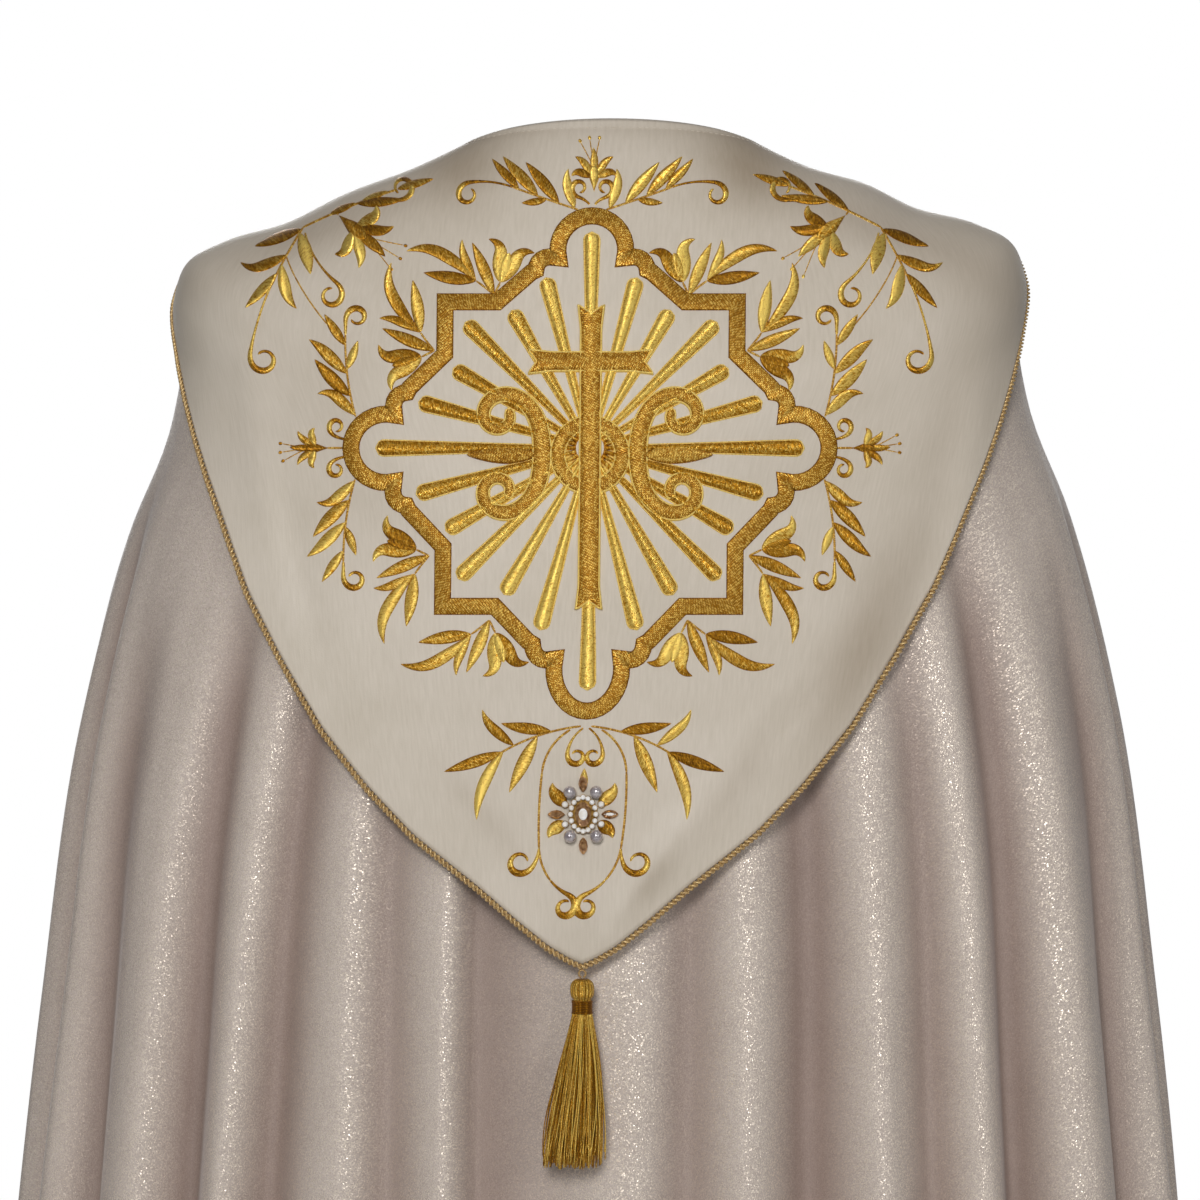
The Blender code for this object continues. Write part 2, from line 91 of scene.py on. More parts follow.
def add_node(
    tree: bpy.types.NodeTree, kind: str, sockets: dict | None = None, out: str | int = 0,
    stops: Sequence[tuple[float, str]] = (), **settings,
) -> bpy.types.NodeSocket:
    """Adds one node with its settings, values and links.

    Args:
        tree: the node tree.
        kind: the node's type name after "ShaderNode".
        sockets: its inputs, as connect takes them.
        out: the output to return.
        stops: a colour ramp's places, from 0 to 1, with their hex colours.
        settings: the node's own properties.

    Returns:
        The output.
    """
    node = tree.nodes.new("ShaderNode" + kind)
    for name, value in settings.items():
        setattr(node, name, value)
    connect(tree, node, sockets or {})
    if stops:
        elements = node.color_ramp.elements
        while len(elements) < len(stops):
            elements.new(0.5)
        for element, (place, colour) in zip(elements, stops):
            element.position, element.color = place, linear(colour)
    return node.outputs[out]


@dataclass(frozen=True)
class Finish:
    """A material whose nodes end in one Principled shader."""

    name: str

    def wire(self, add: Add) -> dict:
        """Adds the material's nodes.

        Args:
            add: add_node for the material's tree.

        Returns:
            The shader's inputs.
        """
        raise NotImplementedError

    def make(self) -> Material:
        """Builds the material.

        Returns:
            The material.
        """
        material = bpy.data.materials.new(self.name)
        material.use_nodes = True
        tree = material.node_tree
        connect(tree, tree.nodes["Principled BSDF"], self.wire(partial(add_node, tree)))
        return material


@dataclass(frozen=True)
class LurexCloth(Finish):
    """Woven cloth with a metallic thread: a soft grey-rose ground whose flat thread glints as fine grains, fewer
    deep in its folds, where its colour takes painted shade from "tone".
    """

    name: str = "lurex_twill_woven"
    ground: str = "#b4a59b"
    lit: str = "#cdc0b6"
    glint: str = "#f6e8d6"
    painted_shade: str = "#c8bcb9"  # painted shade: what the cloth's colour is multiplied by deep in a fold, where "tone" is 0
    grain: float = 0.62 * MM  # a float of the metal thread is finer, and is drawn as coarse as it needs to show
    tilt: float = 0.5

    def wire(self, add: Add) -> dict:
        """Adds the nodes, as Finish.wire says."""
        uv = add("UVMap", uv_map="cloth")
        cells = add("TexVoronoi", {"Vector": uv, "Scale": 1 / self.grain}, "Color")
        red = add("SeparateColor", {"Color": cells})
        cloud = add("TexNoise", {"Vector": uv, "Scale": 26.0, "Detail": 3.0, "Roughness": 0.6})
        tone = add("Math", {0: cloud, 1: red.node.outputs["Green"]}, operation="ADD")
        half = add("Math", {0: tone, 1: 0.5}, operation="MULTIPLY")
        base = add("ValToRGB", {"Fac": half}, stops=((0.10, self.ground), (0.80, self.lit)))
        # "tone" holds the painted fold shade: 1 on the crests, 0 deep in the folds
        lit = add("Attribute", None, "Fac", attribute_name="tone")
        deep = add("Math", {0: 1.0, 1: lit}, operation="SUBTRACT")
        foil = add("MapRange", {"Value": red, "From Min": 0.50, "From Max": 0.98})
        # the glinting flakes are thinned out in the painted fold shade
        shown = add("Math", {0: lit, 1: 0.6, 2: 0.4}, operation="MULTIPLY_ADD")
        foil = add("Math", {0: foil, 1: shown}, operation="MULTIPLY")
        colour = add("Mix", {"Factor": foil, "A": base, "B": linear(self.glint)}, "Result", data_type="RGBA")
        away = {"Factor": deep, "A": colour, "B": linear(self.painted_shade)}
        lean = add("VectorMath", {0: cells, 1: (-0.5, -0.5, -0.5)}, operation="ADD")
        lean = add("VectorMath", {0: lean, "Scale": foil}, operation="SCALE")
        weave = add("TexNoise", {"Vector": uv, "Scale": 900.0, "Detail": 1.0, "Roughness": 0.7})
        bump = add("Bump", {"Height": weave, "Strength": 0.3, "Distance": 0.3 * MM})
        leaned = add("VectorMath", {0: lean, 1: (self.tilt,) * 3, 2: bump}, operation="MULTIPLY_ADD")
        return {
            "Base Color": add("Mix", away, "Result", data_type="RGBA", blend_type="MULTIPLY"),
            "Metallic": add("Math", {0: foil, 1: 0.45}, operation="MULTIPLY"),
            "Roughness": add("MapRange", {"Value": foil, "To Min": 0.55, "To Max": 0.34}),
            "Normal": add("VectorMath", {0: leaned}, operation="NORMALIZE"),
            "Sheen Weight": 0.25, "Sheen Roughness": 0.4,
        }


@dataclass(frozen=True)
class SlubSatin(Finish):
    """Ivory satin-backed cloth: smooth, softly shining, with fine uneven threads that run down it. Its colour
    takes painted shade, and a little painted light, from "tone".
    """

    name: str = "ivory_slub_satin_woven"
    shade: str = "#c6bba9"
    lit: str = "#e0d6c8"
    painted_shade: str = "#c4bbb0"  # painted shade: what its colour is multiplied by where "tone" is 0
    slub: tuple[float, float] = (0.8 * MM, 12 * MM)
    thread: float = 0.8 * MM  # real threads are three times finer and would not show

    def wire(self, add: Add) -> dict:
        """Adds the nodes, as Finish.wire says."""
        uv = add("UVMap", uv_map="cloth")
        stretched = add("Mapping", {"Vector": uv, "Scale": (1 / self.slub[0], 1 / self.slub[1], 1.0)})
        slub = add("TexNoise", {"Vector": stretched, "Scale": 0.8, "Detail": 3.0, "Roughness": 0.65})
        weave = add("TexNoise", {"Vector": uv, "Scale": 1 / self.thread, "Detail": 1.0})
        cloud = add("TexNoise", {"Vector": uv, "Scale": 14.0, "Detail": 2.0})
        streak = add("Math", {0: slub, 1: cloud}, operation="ADD")
        even = add("Math", {0: streak, 1: 0.5}, operation="MULTIPLY")
        base = add("ValToRGB", {"Fac": even}, stops=((0.22, self.shade), (0.76, self.lit)))
        # "tone" holds painted shade below the neck seam and in soft streaks, and a little painted light
        lit = add("Attribute", None, "Fac", attribute_name="tone")
        away = add("Math", {0: 1.0, 1: lit}, operation="SUBTRACT")
        turned = {"Factor": away, "A": base, "B": linear(self.painted_shade)}
        height = add("Math", {0: slub, 1: 0.6, 2: weave}, operation="MULTIPLY_ADD")
        return {
            "Base Color": add("Mix", turned, "Result", data_type="RGBA", blend_type="MULTIPLY"),
            "Normal": add("Bump", {"Height": height, "Strength": 0.18, "Distance": 0.25 * MM}),
            "Roughness": 0.45, "Specular IOR Level": 0.3, "Sheen Weight": 0.08, "Sheen Roughness": 0.35,
        }


class Stitch(Enum):
    """How the gold thread is laid."""

    SATIN = "gold_rayon_satin_stitch"
    FILL = "gold_rayon_fill_stitch"
    LINE = "gold_rayon_stem_stitch"


@dataclass(frozen=True)
class GoldThread(Finish):
    """Rayon embroidery thread laid side by side: each thread shines along its crown, so the shine spreads across
    the threads. "tone" paints it lighter or deeper: a painted sheen by the way a shape's threads lie."""

    deep: str
    body: str
    bright: str
    pitch: float  # between rows; drawn coarser than the real 0.4 mm so that they show
    relief: float
    roughness: float
    metallic: float
    anisotropic: float
    grain: float  # 0 for long smooth threads, 1 for short stitches that each catch the light alone
    bit: tuple[float, float] = (0.62 * MM, 1.0 * MM)  # the short stitches' size
    lean: float = 0.0  # how far the lattice that they lie in is turned, in degrees
    even: float = 0.0  # 0 when they lie and shine at random, 1 in a regular lattice with dark gaps
    strand: tuple[float, float] = (0.6 * MM, 3.2 * MM)  # the long threads' flecks

    def wire(self, add: Add) -> dict:
        """Adds the nodes, as Finish.wire says."""
        uv = add("UVMap", uv_map="stitch")
        threads = add("Mapping", {"Vector": uv, "Scale": (1 / self.strand[0], 1 / self.strand[1], 1.0)})
        strand = add("TexNoise", {"Vector": threads, "Scale": 1.0, "Detail": 2.0, "Roughness": 0.7})
        turn, size = (0.0, 0.0, math.radians(self.lean)), (1 / self.bit[0], 1 / self.bit[1], 1.0)
        short = add("Mapping", {"Vector": uv, "Scale": size, "Rotation": turn})
        far = add("TexVoronoi", {"Vector": short, "Scale": 1.0, "Randomness": 1.0 - 0.8 * self.even}, "Distance")
        bit = add("SeparateColor", {"Color": far.node.outputs["Color"]})
        bit = add("Math", {0: bit, 1: 1.0 - 0.6 * self.even, 2: 0.64 * self.even}, operation="MULTIPLY_ADD")
        bit = add("Math", {0: far, 1: -0.9 * self.even, 2: bit}, operation="MULTIPLY_ADD")
        strand = add("Mix", {"Factor": self.grain, "A": strand, "B": bit}, "Result", data_type="FLOAT")
        rows = add(
            "TexWave",
            {"Vector": uv, "Scale": 2 * math.pi / (20 * self.pitch), "Distortion": 0.8, "Detail": 2.0,
             "Detail Scale": 2.0},
            "Fac", wave_type="BANDS", bands_direction="X", wave_profile="SIN",
        )
        # "tone" holds each shape's own tone, a painted sheen by the way its threads run and painted shade at its
        # edges
        laid = add("Attribute", None, "Fac", attribute_name="tone")
        fine = add("Math", {0: rows, 1: 0.18, 2: strand}, operation="MULTIPLY_ADD")
        tone = add("Math", {0: laid, 1: 0.6, 2: fine}, operation="MULTIPLY_ADD")
        height = add("Math", {0: strand, 1: 0.8, 2: rows}, operation="MULTIPLY_ADD")
        # from deep to bright as the painted sheen and shade in "tone" go
        stops = ((0.52, self.deep), (0.86, self.body), (1.0, self.bright))
        return {
            "Base Color": add("ValToRGB", {"Fac": tone}, stops=stops),
            "Normal": add("Bump", {"Height": height, "Strength": self.relief, "Distance": 0.30 * MM}),
            "Tangent": add("Tangent", direction_type="UV_MAP", uv_map="stitch"),
            "Anisotropic": self.anisotropic, "Roughness": self.roughness, "Metallic": self.metallic,
        }


@dataclass(frozen=True)
class MetalCord(Finish):
    """Cord of gold-wrapped yarn: pale metallic plies with darker gaps between the wraps."""

    name: str = "gold_wrapped_yarn_twisted"
    deep: str = "#84592a"
    bright: str = "#f4d496"
    wrap: float = 0.9 * MM

    def wire(self, add: Add) -> dict:
        """Adds the nodes, as Finish.wire says."""
        uv = add("UVMap", uv_map="stitch")
        flecks = add("TexNoise", {"Vector": uv, "Scale": 1 / self.wrap, "Detail": 2.0, "Roughness": 0.7})
        return {
            "Base Color": add("ValToRGB", {"Fac": flecks}, stops=((0.34, self.deep), (0.62, self.bright))),
            "Normal": add("Bump", {"Height": flecks, "Strength": 0.5, "Distance": 0.2 * MM}),
            "Roughness": 0.36, "Metallic": 0.35,
        }


@dataclass(frozen=True)
class Jewel(Finish):
    """A cut or polished bead: glossy, with a faint cloud inside it."""

    shade: str
    lit: str
    roughness: float
    metallic: float
    coat: float = 0.0
    cloud: float = 420.0

    def wire(self, add: Add) -> dict:
        """Adds the nodes, as Finish.wire says."""
        place = add("TexCoord", None, "Object")
        cloud = add("TexNoise", {"Vector": place, "Scale": self.cloud, "Detail": 1.0})
        return {
            "Base Color": add("ValToRGB", {"Fac": cloud}, stops=((0.3, self.shade), (0.7, self.lit))),
            "Roughness": self.roughness, "Metallic": self.metallic,
            "Coat Weight": self.coat, "Coat Roughness": 0.04,
        }


@dataclass(frozen=True)
class Backdrop(Finish):
    """Matt white paper."""

    name: str = "studio_paper_matt"
    shade: str = "#f1f1ef"
    lit: str = "#f4f4f2"

    def wire(self, add: Add) -> dict:
        """Adds the nodes, as Finish.wire says."""
        grain = add("TexNoise", {"Vector": add("TexCoord", None, "Object"), "Scale": 3.0, "Detail": 2.0})
        tint = add("ValToRGB", {"Fac": grain}, stops=((0.3, self.shade), (0.7, self.lit)))
        return {"Base Color": tint, "Roughness": 0.9}


# --- Mesh helpers ----------------------------------------------------------------------------------------


def add_grid(
    mesh: Mesh,
    across: int,
    along: int,
    place: Place,
    uv_name: str,
    uv_size: Place,
    closed: bool = False,
    tone: Place | float = 0.5,
) -> None:
    """Adds a grid and moves each of its points to its place.

    Args:
        mesh: the bmesh that gets the grid.
        across: cells in the first direction.
        along: cells in the second direction.
        place: maps two arrays of shares from 0 to 1 to an array of points.
        uv_name: the UV layer to fill.
        uv_size: maps the same shares to UV coordinates in metres.
        closed: True if the first direction closes on itself, as round a cord.
        tone: how light its thread lies, for all of it or mapped from the same shares.
    """
    layer = mesh.loops.layers.uv.get(uv_name) or mesh.loops.layers.uv.new(uv_name)
    shade = mesh.verts.layers.float.get("tone") or mesh.verts.layers.float.new("tone")
    made = bmesh.ops.create_grid(mesh, x_segments=across, y_segments=along, size=0.5)["verts"]
    shares = np.array([v.co[:] for v in made]) + 0.5
    first, second = shares[:, 0], shares[:, 1]
    tones = np.broadcast_to(tone(first, second) if callable(tone) else tone, first.shape)
    uv_of = {}
    for vertex, point, uv, light in zip(made, place(first, second), uv_size(first, second), tones):
        vertex.co = point
        vertex[shade] = light
        uv_of[vertex] = uv
    for face in {face for vertex in made for face in vertex.link_faces}:
        face.smooth = True
        for loop in face.loops:
            loop[layer].uv = uv_of[loop.vert]
    if closed:
        seam = [v for v, s in zip(made, first) if s < 1e-6 or s > 1 - 1e-6]
        bmesh.ops.remove_doubles(mesh, verts=seam, dist=1e-6)
        rims = {e for v in made if v.is_valid for e in v.link_edges if e.is_boundary}
        bmesh.ops.holes_fill(mesh, edges=list(rims), sides=0)


def finish_piece(
    name: str, mesh: Mesh, material: Material, replaces: Sequence[str] = (), recalculate: bool = True
) -> Piece:
    """Turns a bmesh into a piece of the object.

    Args:
        name: the piece's name.
        mesh: its bmesh, which is freed.
        material: its material.
        replaces: CAD nodes that it stands for.
        recalculate: whether to point its faces outwards.

    Returns:
        The piece.
    """
    if recalculate:
        bmesh.ops.recalc_face_normals(mesh, faces=mesh.faces)
    piece = link_mesh(name, mesh, material)
    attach(piece, "root")
    for node in replaces:
        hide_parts(node)
    log.info("%s: %d faces", name, len(piece.data.polygons))
    return piece


def link_mesh(name: str, mesh: Mesh, material: Material) -> Piece:
    """Makes an object of a bmesh.

    Args:
        name: the object's name.
        mesh: its bmesh, which is freed.
        material: its material.

    Returns:
        The object.
    """
    data = bpy.data.meshes.new(name)
    mesh.to_mesh(data)
    mesh.free()
    data.materials.append(material)
    return link(name, data)


def link(name: str, data: bpy.types.ID) -> Piece:
    """Puts an object in the scene.

    Args:
        name: the object's name.
        data: its mesh, light or camera.

    Returns:
        The object.
    """
    thing = bpy.data.objects.new(name, data)
    bpy.context.collection.objects.link(thing)
    return thing


def face_outwards(mesh: Mesh, inside: Vector) -> None:
    """Points a sheet's faces outwards.

    Args:
        mesh: the sheet.
        inside: a point inside it.
    """
    bmesh.ops.recalc_face_normals(mesh, faces=mesh.faces)
    if sum(face.normal.dot(inside - face.calc_center_median()) for face in mesh.faces) > 0:
        bmesh.ops.reverse_faces(mesh, faces=mesh.faces)
    mesh.normal_update()


def give_thickness(mesh: Mesh, thickness: float, inside: Vector) -> None:
    """Gives a sheet a wall behind its outer face.

    Args:
        mesh: the sheet.
        thickness: the wall.
        inside: a point inside the sheet, to tell its two faces apart.
    """
    face_outwards(mesh, inside)
    bmesh.ops.solidify(mesh, geom=list(mesh.faces), thickness=thickness)
    for face in mesh.faces:
        face.smooth = True


def lengths(path: Array) -> Array:
    """The length of a path up to each of its points."""
    return np.concatenate([[0.0], np.cumsum(np.linalg.norm(np.diff(path, axis=0), axis=1))])


def path_frames(path: Array) -> tuple[Array, Array]:
    """Works out axes that don't twist along a path.

    Args:
        path: points in order.

    Returns:
        Two unit vectors across the path at each point.
    """
    step = np.gradient(path, axis=0)
    ahead = step / np.linalg.norm(step, axis=1, keepdims=True)
    first = np.zeros_like(path)
    across = np.array(Vector(ahead[0]).orthogonal().normalized())
    for i, direction in enumerate(ahead):
        across = across - direction * np.dot(across, direction)
        across /= np.linalg.norm(across)
        first[i] = across
    return first, np.cross(ahead, first)


def sampled(path: Array, length: Array, at: Array) -> Array:
    """Points of a path, or any values along it, at given lengths."""
    return np.stack([np.interp(at, length, column) for column in path.T], axis=-1)


def add_cord(
    mesh: Mesh,
    path: Array,
    radius: float | Callable[[Array], Array],
    sides: int = 6,
    steps: int | None = None,
    wind: Triple = (0.0, 1.0, 0.0),
    tone: float = 0.5,
    shift: float = 0.0,
) -> None:
    """Adds one ply of a cord.

    Args:
        mesh: the bmesh that gets it.
        path: the cord's centre line.
        radius: the ply's radius, or a function of the share along the path.
        sides: faces round the ply.
        steps: cells along it, or one for each millimetre.
        wind: how far the ply winds from the centre line, the length of one turn and its start.
        tone: how light its thread lies.
        shift: moves its pattern along it.
    """
    length, (first, second) = lengths(path), path_frames(path)
    total = float(length[-1])
    offset, pitch, phase = wind

    def place(round_it: Array, along: Array) -> Array:
        """Points of the wound ply."""
        at = along * total
        centre, a, b = (sampled(v, length, at) for v in (path, first, second))
        start = 2 * math.pi * at / pitch + phase
        turn = 2 * math.pi * round_it + start
        size = radius(along) if callable(radius) else radius
        wound = a * np.cos(start)[:, None] + b * np.sin(start)[:, None]
        rim = a * np.cos(turn)[:, None] + b * np.sin(turn)[:, None]
        return centre + wound * offset + rim * np.broadcast_to(size, along.shape)[:, None]

    def uv(round_it: Array, along: Array) -> Array:
        """Along the ply, and round it."""
        return np.stack([along * total + shift, round_it * 6 * MM + shift], axis=-1)

    add_grid(mesh, sides, steps or max(8, int(total / MM)), place, "stitch", uv, closed=True, tone=tone)


# --- The form of the cloth -------------------------------------------------------------------------------


def smooth(low: float, high: float, value: Array) -> Array:
    """0 below low, 1 above high, and an even S between."""
    t = np.clip((value - low) / (high - low), 0.0, 1.0)
    return t * t * (3.0 - 2.0 * t)


def bell(value: Array, middle: float, width: float) -> Array:
    """1 at the middle, falling evenly to both sides of it."""
    return np.exp(-(((value - middle) / width) ** 2))


def fan(fall: Array, turn: Array) -> Array:
    """Where cloth cut in a part of a circle lies flat: UV coordinates in metres, by fall and turn in radians."""
    reach = fall + NECK_CUT
    return np.stack([reach * np.sin(turn), reach * np.cos(turn)], axis=-1)


def through(rows: Sequence[Sequence[float]], value: Array, column: int = 1) -> Array:
    """Reads a smooth curve through one column of a table.

    Args:
        rows: the table, whose first column rises.
        value: where to read it.
        column: the column to read.

    Returns:
        The values.
    """
    x = np.array([row[0] for row in rows])
    y = np.array([row[column] for row in rows])
    slope = np.gradient(y, x)
    step = np.diff(y) / np.diff(x)
    slope[0], slope[-1] = step[0], step[-1]
    value = np.clip(value, x[0], x[-1])
    i = np.clip(np.searchsorted(x, value, side="right") - 1, 0, len(x) - 2)
    h = x[i + 1] - x[i]
    t = (value - x[i]) / h
    return (
        (1 + 2 * t) * (1 - t) ** 2 * y[i]
        + t * (1 - t) ** 2 * h * slope[i]
        + t * t * (3 - 2 * t) * y[i + 1]
        + t * t * (t - 1) * h * slope[i + 1]
    )


@dataclass(frozen=True)
class WornForm:
    """The cloak's form on its wearer. A ring is a row: its fall down the cloth, then where it passes the
    side, the back and the front, and the angle kept by each front edge. A fold is a row too: a valley, the
    crest after it, its depth at the hem, the fall where it starts and how far it drifts."""

    rings: tuple = (
        # fall, side_x, side_z, back_y, back_z, front_y, front_z, edge_deg
        (0.000, 0.0900, 0.001, 0.068, 0.013, -0.086, -0.058, 7.0),
        (0.030, 0.1190, -0.013, 0.082, -0.013, -0.095, -0.086, 6.0),
        (0.070, 0.1560, -0.025, 0.097, -0.050, -0.105, -0.124, 4.6),
        (0.110, 0.1900, -0.041, 0.108, -0.089, -0.113, -0.163, 3.8),
        (0.148, 0.2270, -0.052, 0.116, -0.126, -0.119, -0.200, 3.2),
        (0.172, 0.2470, -0.064, 0.120, -0.150, -0.122, -0.224, 3.1),
        (0.190, 0.2525, -0.081, 0.122, -0.168, -0.125, -0.242, 3.0),
        (0.222, 0.2530, -0.114, 0.126, -0.200, -0.128, -0.273, 3.0),
        (0.260, 0.2600, -0.156, 0.130, -0.238, -0.133, -0.310, 3.0),
        (0.330, 0.2850, -0.221, 0.135, -0.308, -0.140, -0.378, 3.1),
        (0.450, 0.3150, -0.337, 0.141, -0.427, -0.150, -0.493, 3.5),
        (0.620, 0.3380, -0.506, 0.149, -0.597, -0.165, -0.655, 4.2),
        (0.820, 0.3600, -0.705, 0.164, -0.796, -0.185, -0.844, 5.2),
        (1.020, 0.3810, -0.904, 0.186, -0.995, -0.208, -1.031, 6.3),
        (1.220, 0.4030, -1.103, 0.213, -1.193, -0.234, -1.216, 7.6),
        (1.430, 0.4280, -1.312, 0.246, -1.402, -0.262, -1.405, 9.0),
    )
    folds: tuple = (
        # valley_deg, crest_deg, depth_at_hem, first_fall, drift_deg
        (-167.0, -160.0, 0.030, 0.20, 1.0),
        (-153.5, -147.0, 0.040, 0.16, -1.0),
        (-140.5, -133.0, 0.034, 0.24, 1.5),
        (-127.0, -120.5, 0.043, 0.30, 0.0),
        (-113.0, -105.0, 0.036, 0.27, -1.5),
        (-97.0, -89.0, 0.041, 0.33, 1.0),
        (-81.0, -73.5, 0.045, 0.26, 0.0),
        (-64.5, -52.0, 0.039, 0.30, 1.0),
        (-42.6, -37.1, 0.050, 0.24, 5.0),
        (-31.8, -26.2, 0.037, 0.27, 6.0),
        (-19.1, -13.0, 0.047, 0.22, 6.0),
        (-7.7, -2.6, 0.034, 0.29, 4.0),
        (11.0, 13.9, 0.037, 0.26, -4.0),
        (19.3, 23.8, 0.032, 0.28, -5.0),
        (30.7, 36.1, 0.041, 0.24, 2.0),
        (41.0, 49.0, 0.047, 0.26, 0.0),
        (59.5, 67.5, 0.039, 0.31, 1.0),
        (75.0, 82.5, 0.046, 0.25, 0.0),
        (91.0, 98.5, 0.038, 0.34, 1.0),
        (106.5, 114.0, 0.044, 0.29, -1.0),
        (122.0, 129.0, 0.036, 0.26, 1.5),
        (135.5, 142.5, 0.042, 0.21, 0.0),
        (149.0, 156.0, 0.036, 0.25, -1.0),
        (162.5, 170.0, 0.033, 0.17, 1.0),
    )
    first_crest: float = -174.0
    valley_round: float = 0.20
    fullness: float = 0.14
    shoulder_tilt: float = 0.024
    body_shift: float = 0.007
    drift_from: float = 0.55  # the fall where each fold is at its stated angle
    deep_fold: float = 0.042  # a fold as deep as this at the hem is painted in full shade

    @property
    def fall(self) -> float:
        """The cloth's length from neckline to hem."""
        return self.rings[-1][0]

    def body(self, fall: Array, angle: Array) -> Array:
        """Points of the cloak without folds.

        Args:
            fall: lengths down the cloth.
            angle: degrees from the middle of the back.

        Returns:
            The points.
        """
        fall, angle = np.broadcast_arrays(fall, np.radians(angle))
        sine, cosine = np.sin(angle), np.cos(angle)
        side_x, side_z, back_y, back_z, front_y, front_z = (
            through(self.rings, fall, column) for column in range(1, 7)
        )
        depth = np.where(cosine > 0, back_y, -front_y)
        middle = np.where(cosine > 0, back_z, front_z)
        x = side_x * sine * (1 + self.fullness * cosine**2)
        y = depth * cosine * (1 + self.fullness * sine**2)
        z = side_z * sine**2 + middle * cosine**2
        z -= self.shoulder_tilt * x * smooth(0.0, 0.1, fall) * (1.0 - smooth(0.25, 0.8, fall))
        return np.stack([x + self.body_shift * smooth(0.0, 0.13, fall), y, z], axis=-1)

    def outward(self, fall: Array, angle: Array) -> Array:
        """Finds the way out of the unfolded cloak.

        Args:
            fall: lengths down the cloth.
            angle: degrees from the middle of the back.

        Returns:
            Unit vectors.
        """
        down = self.body(fall + 0.002, angle) - self.body(fall - 0.002, angle)
        round_it = self.body(fall, np.asarray(angle) + 0.5) - self.body(fall, np.asarray(angle) - 0.5)
        normal = np.cross(round_it, down)
        return normal / np.linalg.norm(normal, axis=-1, keepdims=True)

    def pleat(self, share: Array) -> Array:
        """Depth across a pleat, by the share of the way up: a narrow valley and a round crest."""
        way = np.sqrt(share * share + self.valley_round**2) - self.valley_round
        return 1.0 - np.sin(way / (math.sqrt(1.0 + self.valley_round**2) - self.valley_round) * math.pi / 2)

    def across_folds(self, fall: Array, angle: Array) -> Iterator[tuple[Sequence[float], Array]]:
        """Goes through the folds.

        Args:
            fall: lengths down the cloth.
            angle: degrees from the middle of the back.

        Yields:
            The fold's row, and how far every point is from its valley, 0, to its crests, 1.
        """
        before = self.first_crest
        for row in self.folds:
            valley, crest, _, _, drift = row
            turned = angle - drift * (fall - self.drift_from)
            side = np.where(turned < valley, valley - before, crest - valley)
            yield row, np.clip(np.abs(turned - valley) / side, 0.0, 1.0)
            before = crest

    def fold_depth(self, fall: Array, angle: Array) -> Array:
        """How far the folds take the cloth inside the unfolded form.

        Args:
            fall: lengths down the cloth.
            angle: degrees from the middle of the back.

        Returns:
            The depths.
        """
        depth = np.zeros(fall.shape)
        for (_, _, at_hem, first, _), t in self.across_folds(fall, angle):
            down = np.clip((fall - first) / (self.fall - first), 0.0, 1.0)
            depth += at_hem * down * (2.0 - down) * smooth(0.0, 0.10, down) * self.pleat(t)
        return depth

    def openness(self, fall: Array, angle: Array) -> Array:
        """How open the cloth lies to the light, painted into its colour as shade.

        Args:
            fall: lengths down the cloth.
            angle: degrees from the middle of the back.

        Returns:
            1 on the crests, 0 deep in the folds.
        """
        deep = np.zeros(fall.shape)
        for (_, _, at_hem, first, _), t in self.across_folds(fall, angle):
            deep += smooth(first, first + 0.16, fall) * at_hem / self.deep_fold * (1.0 - smooth(0.04, 0.80, t))
        return 1.0 - np.clip(deep, 0.0, 1.2)

    def cloak(self, fall: Array, angle: Array) -> Array:
        """Outer points of the folded cloak."""
        return self.body(fall, angle) - self.outward(fall, angle) * self.fold_depth(fall, angle)[..., None]


# --- Cloak and band --------------------------------------------------------------------------------------


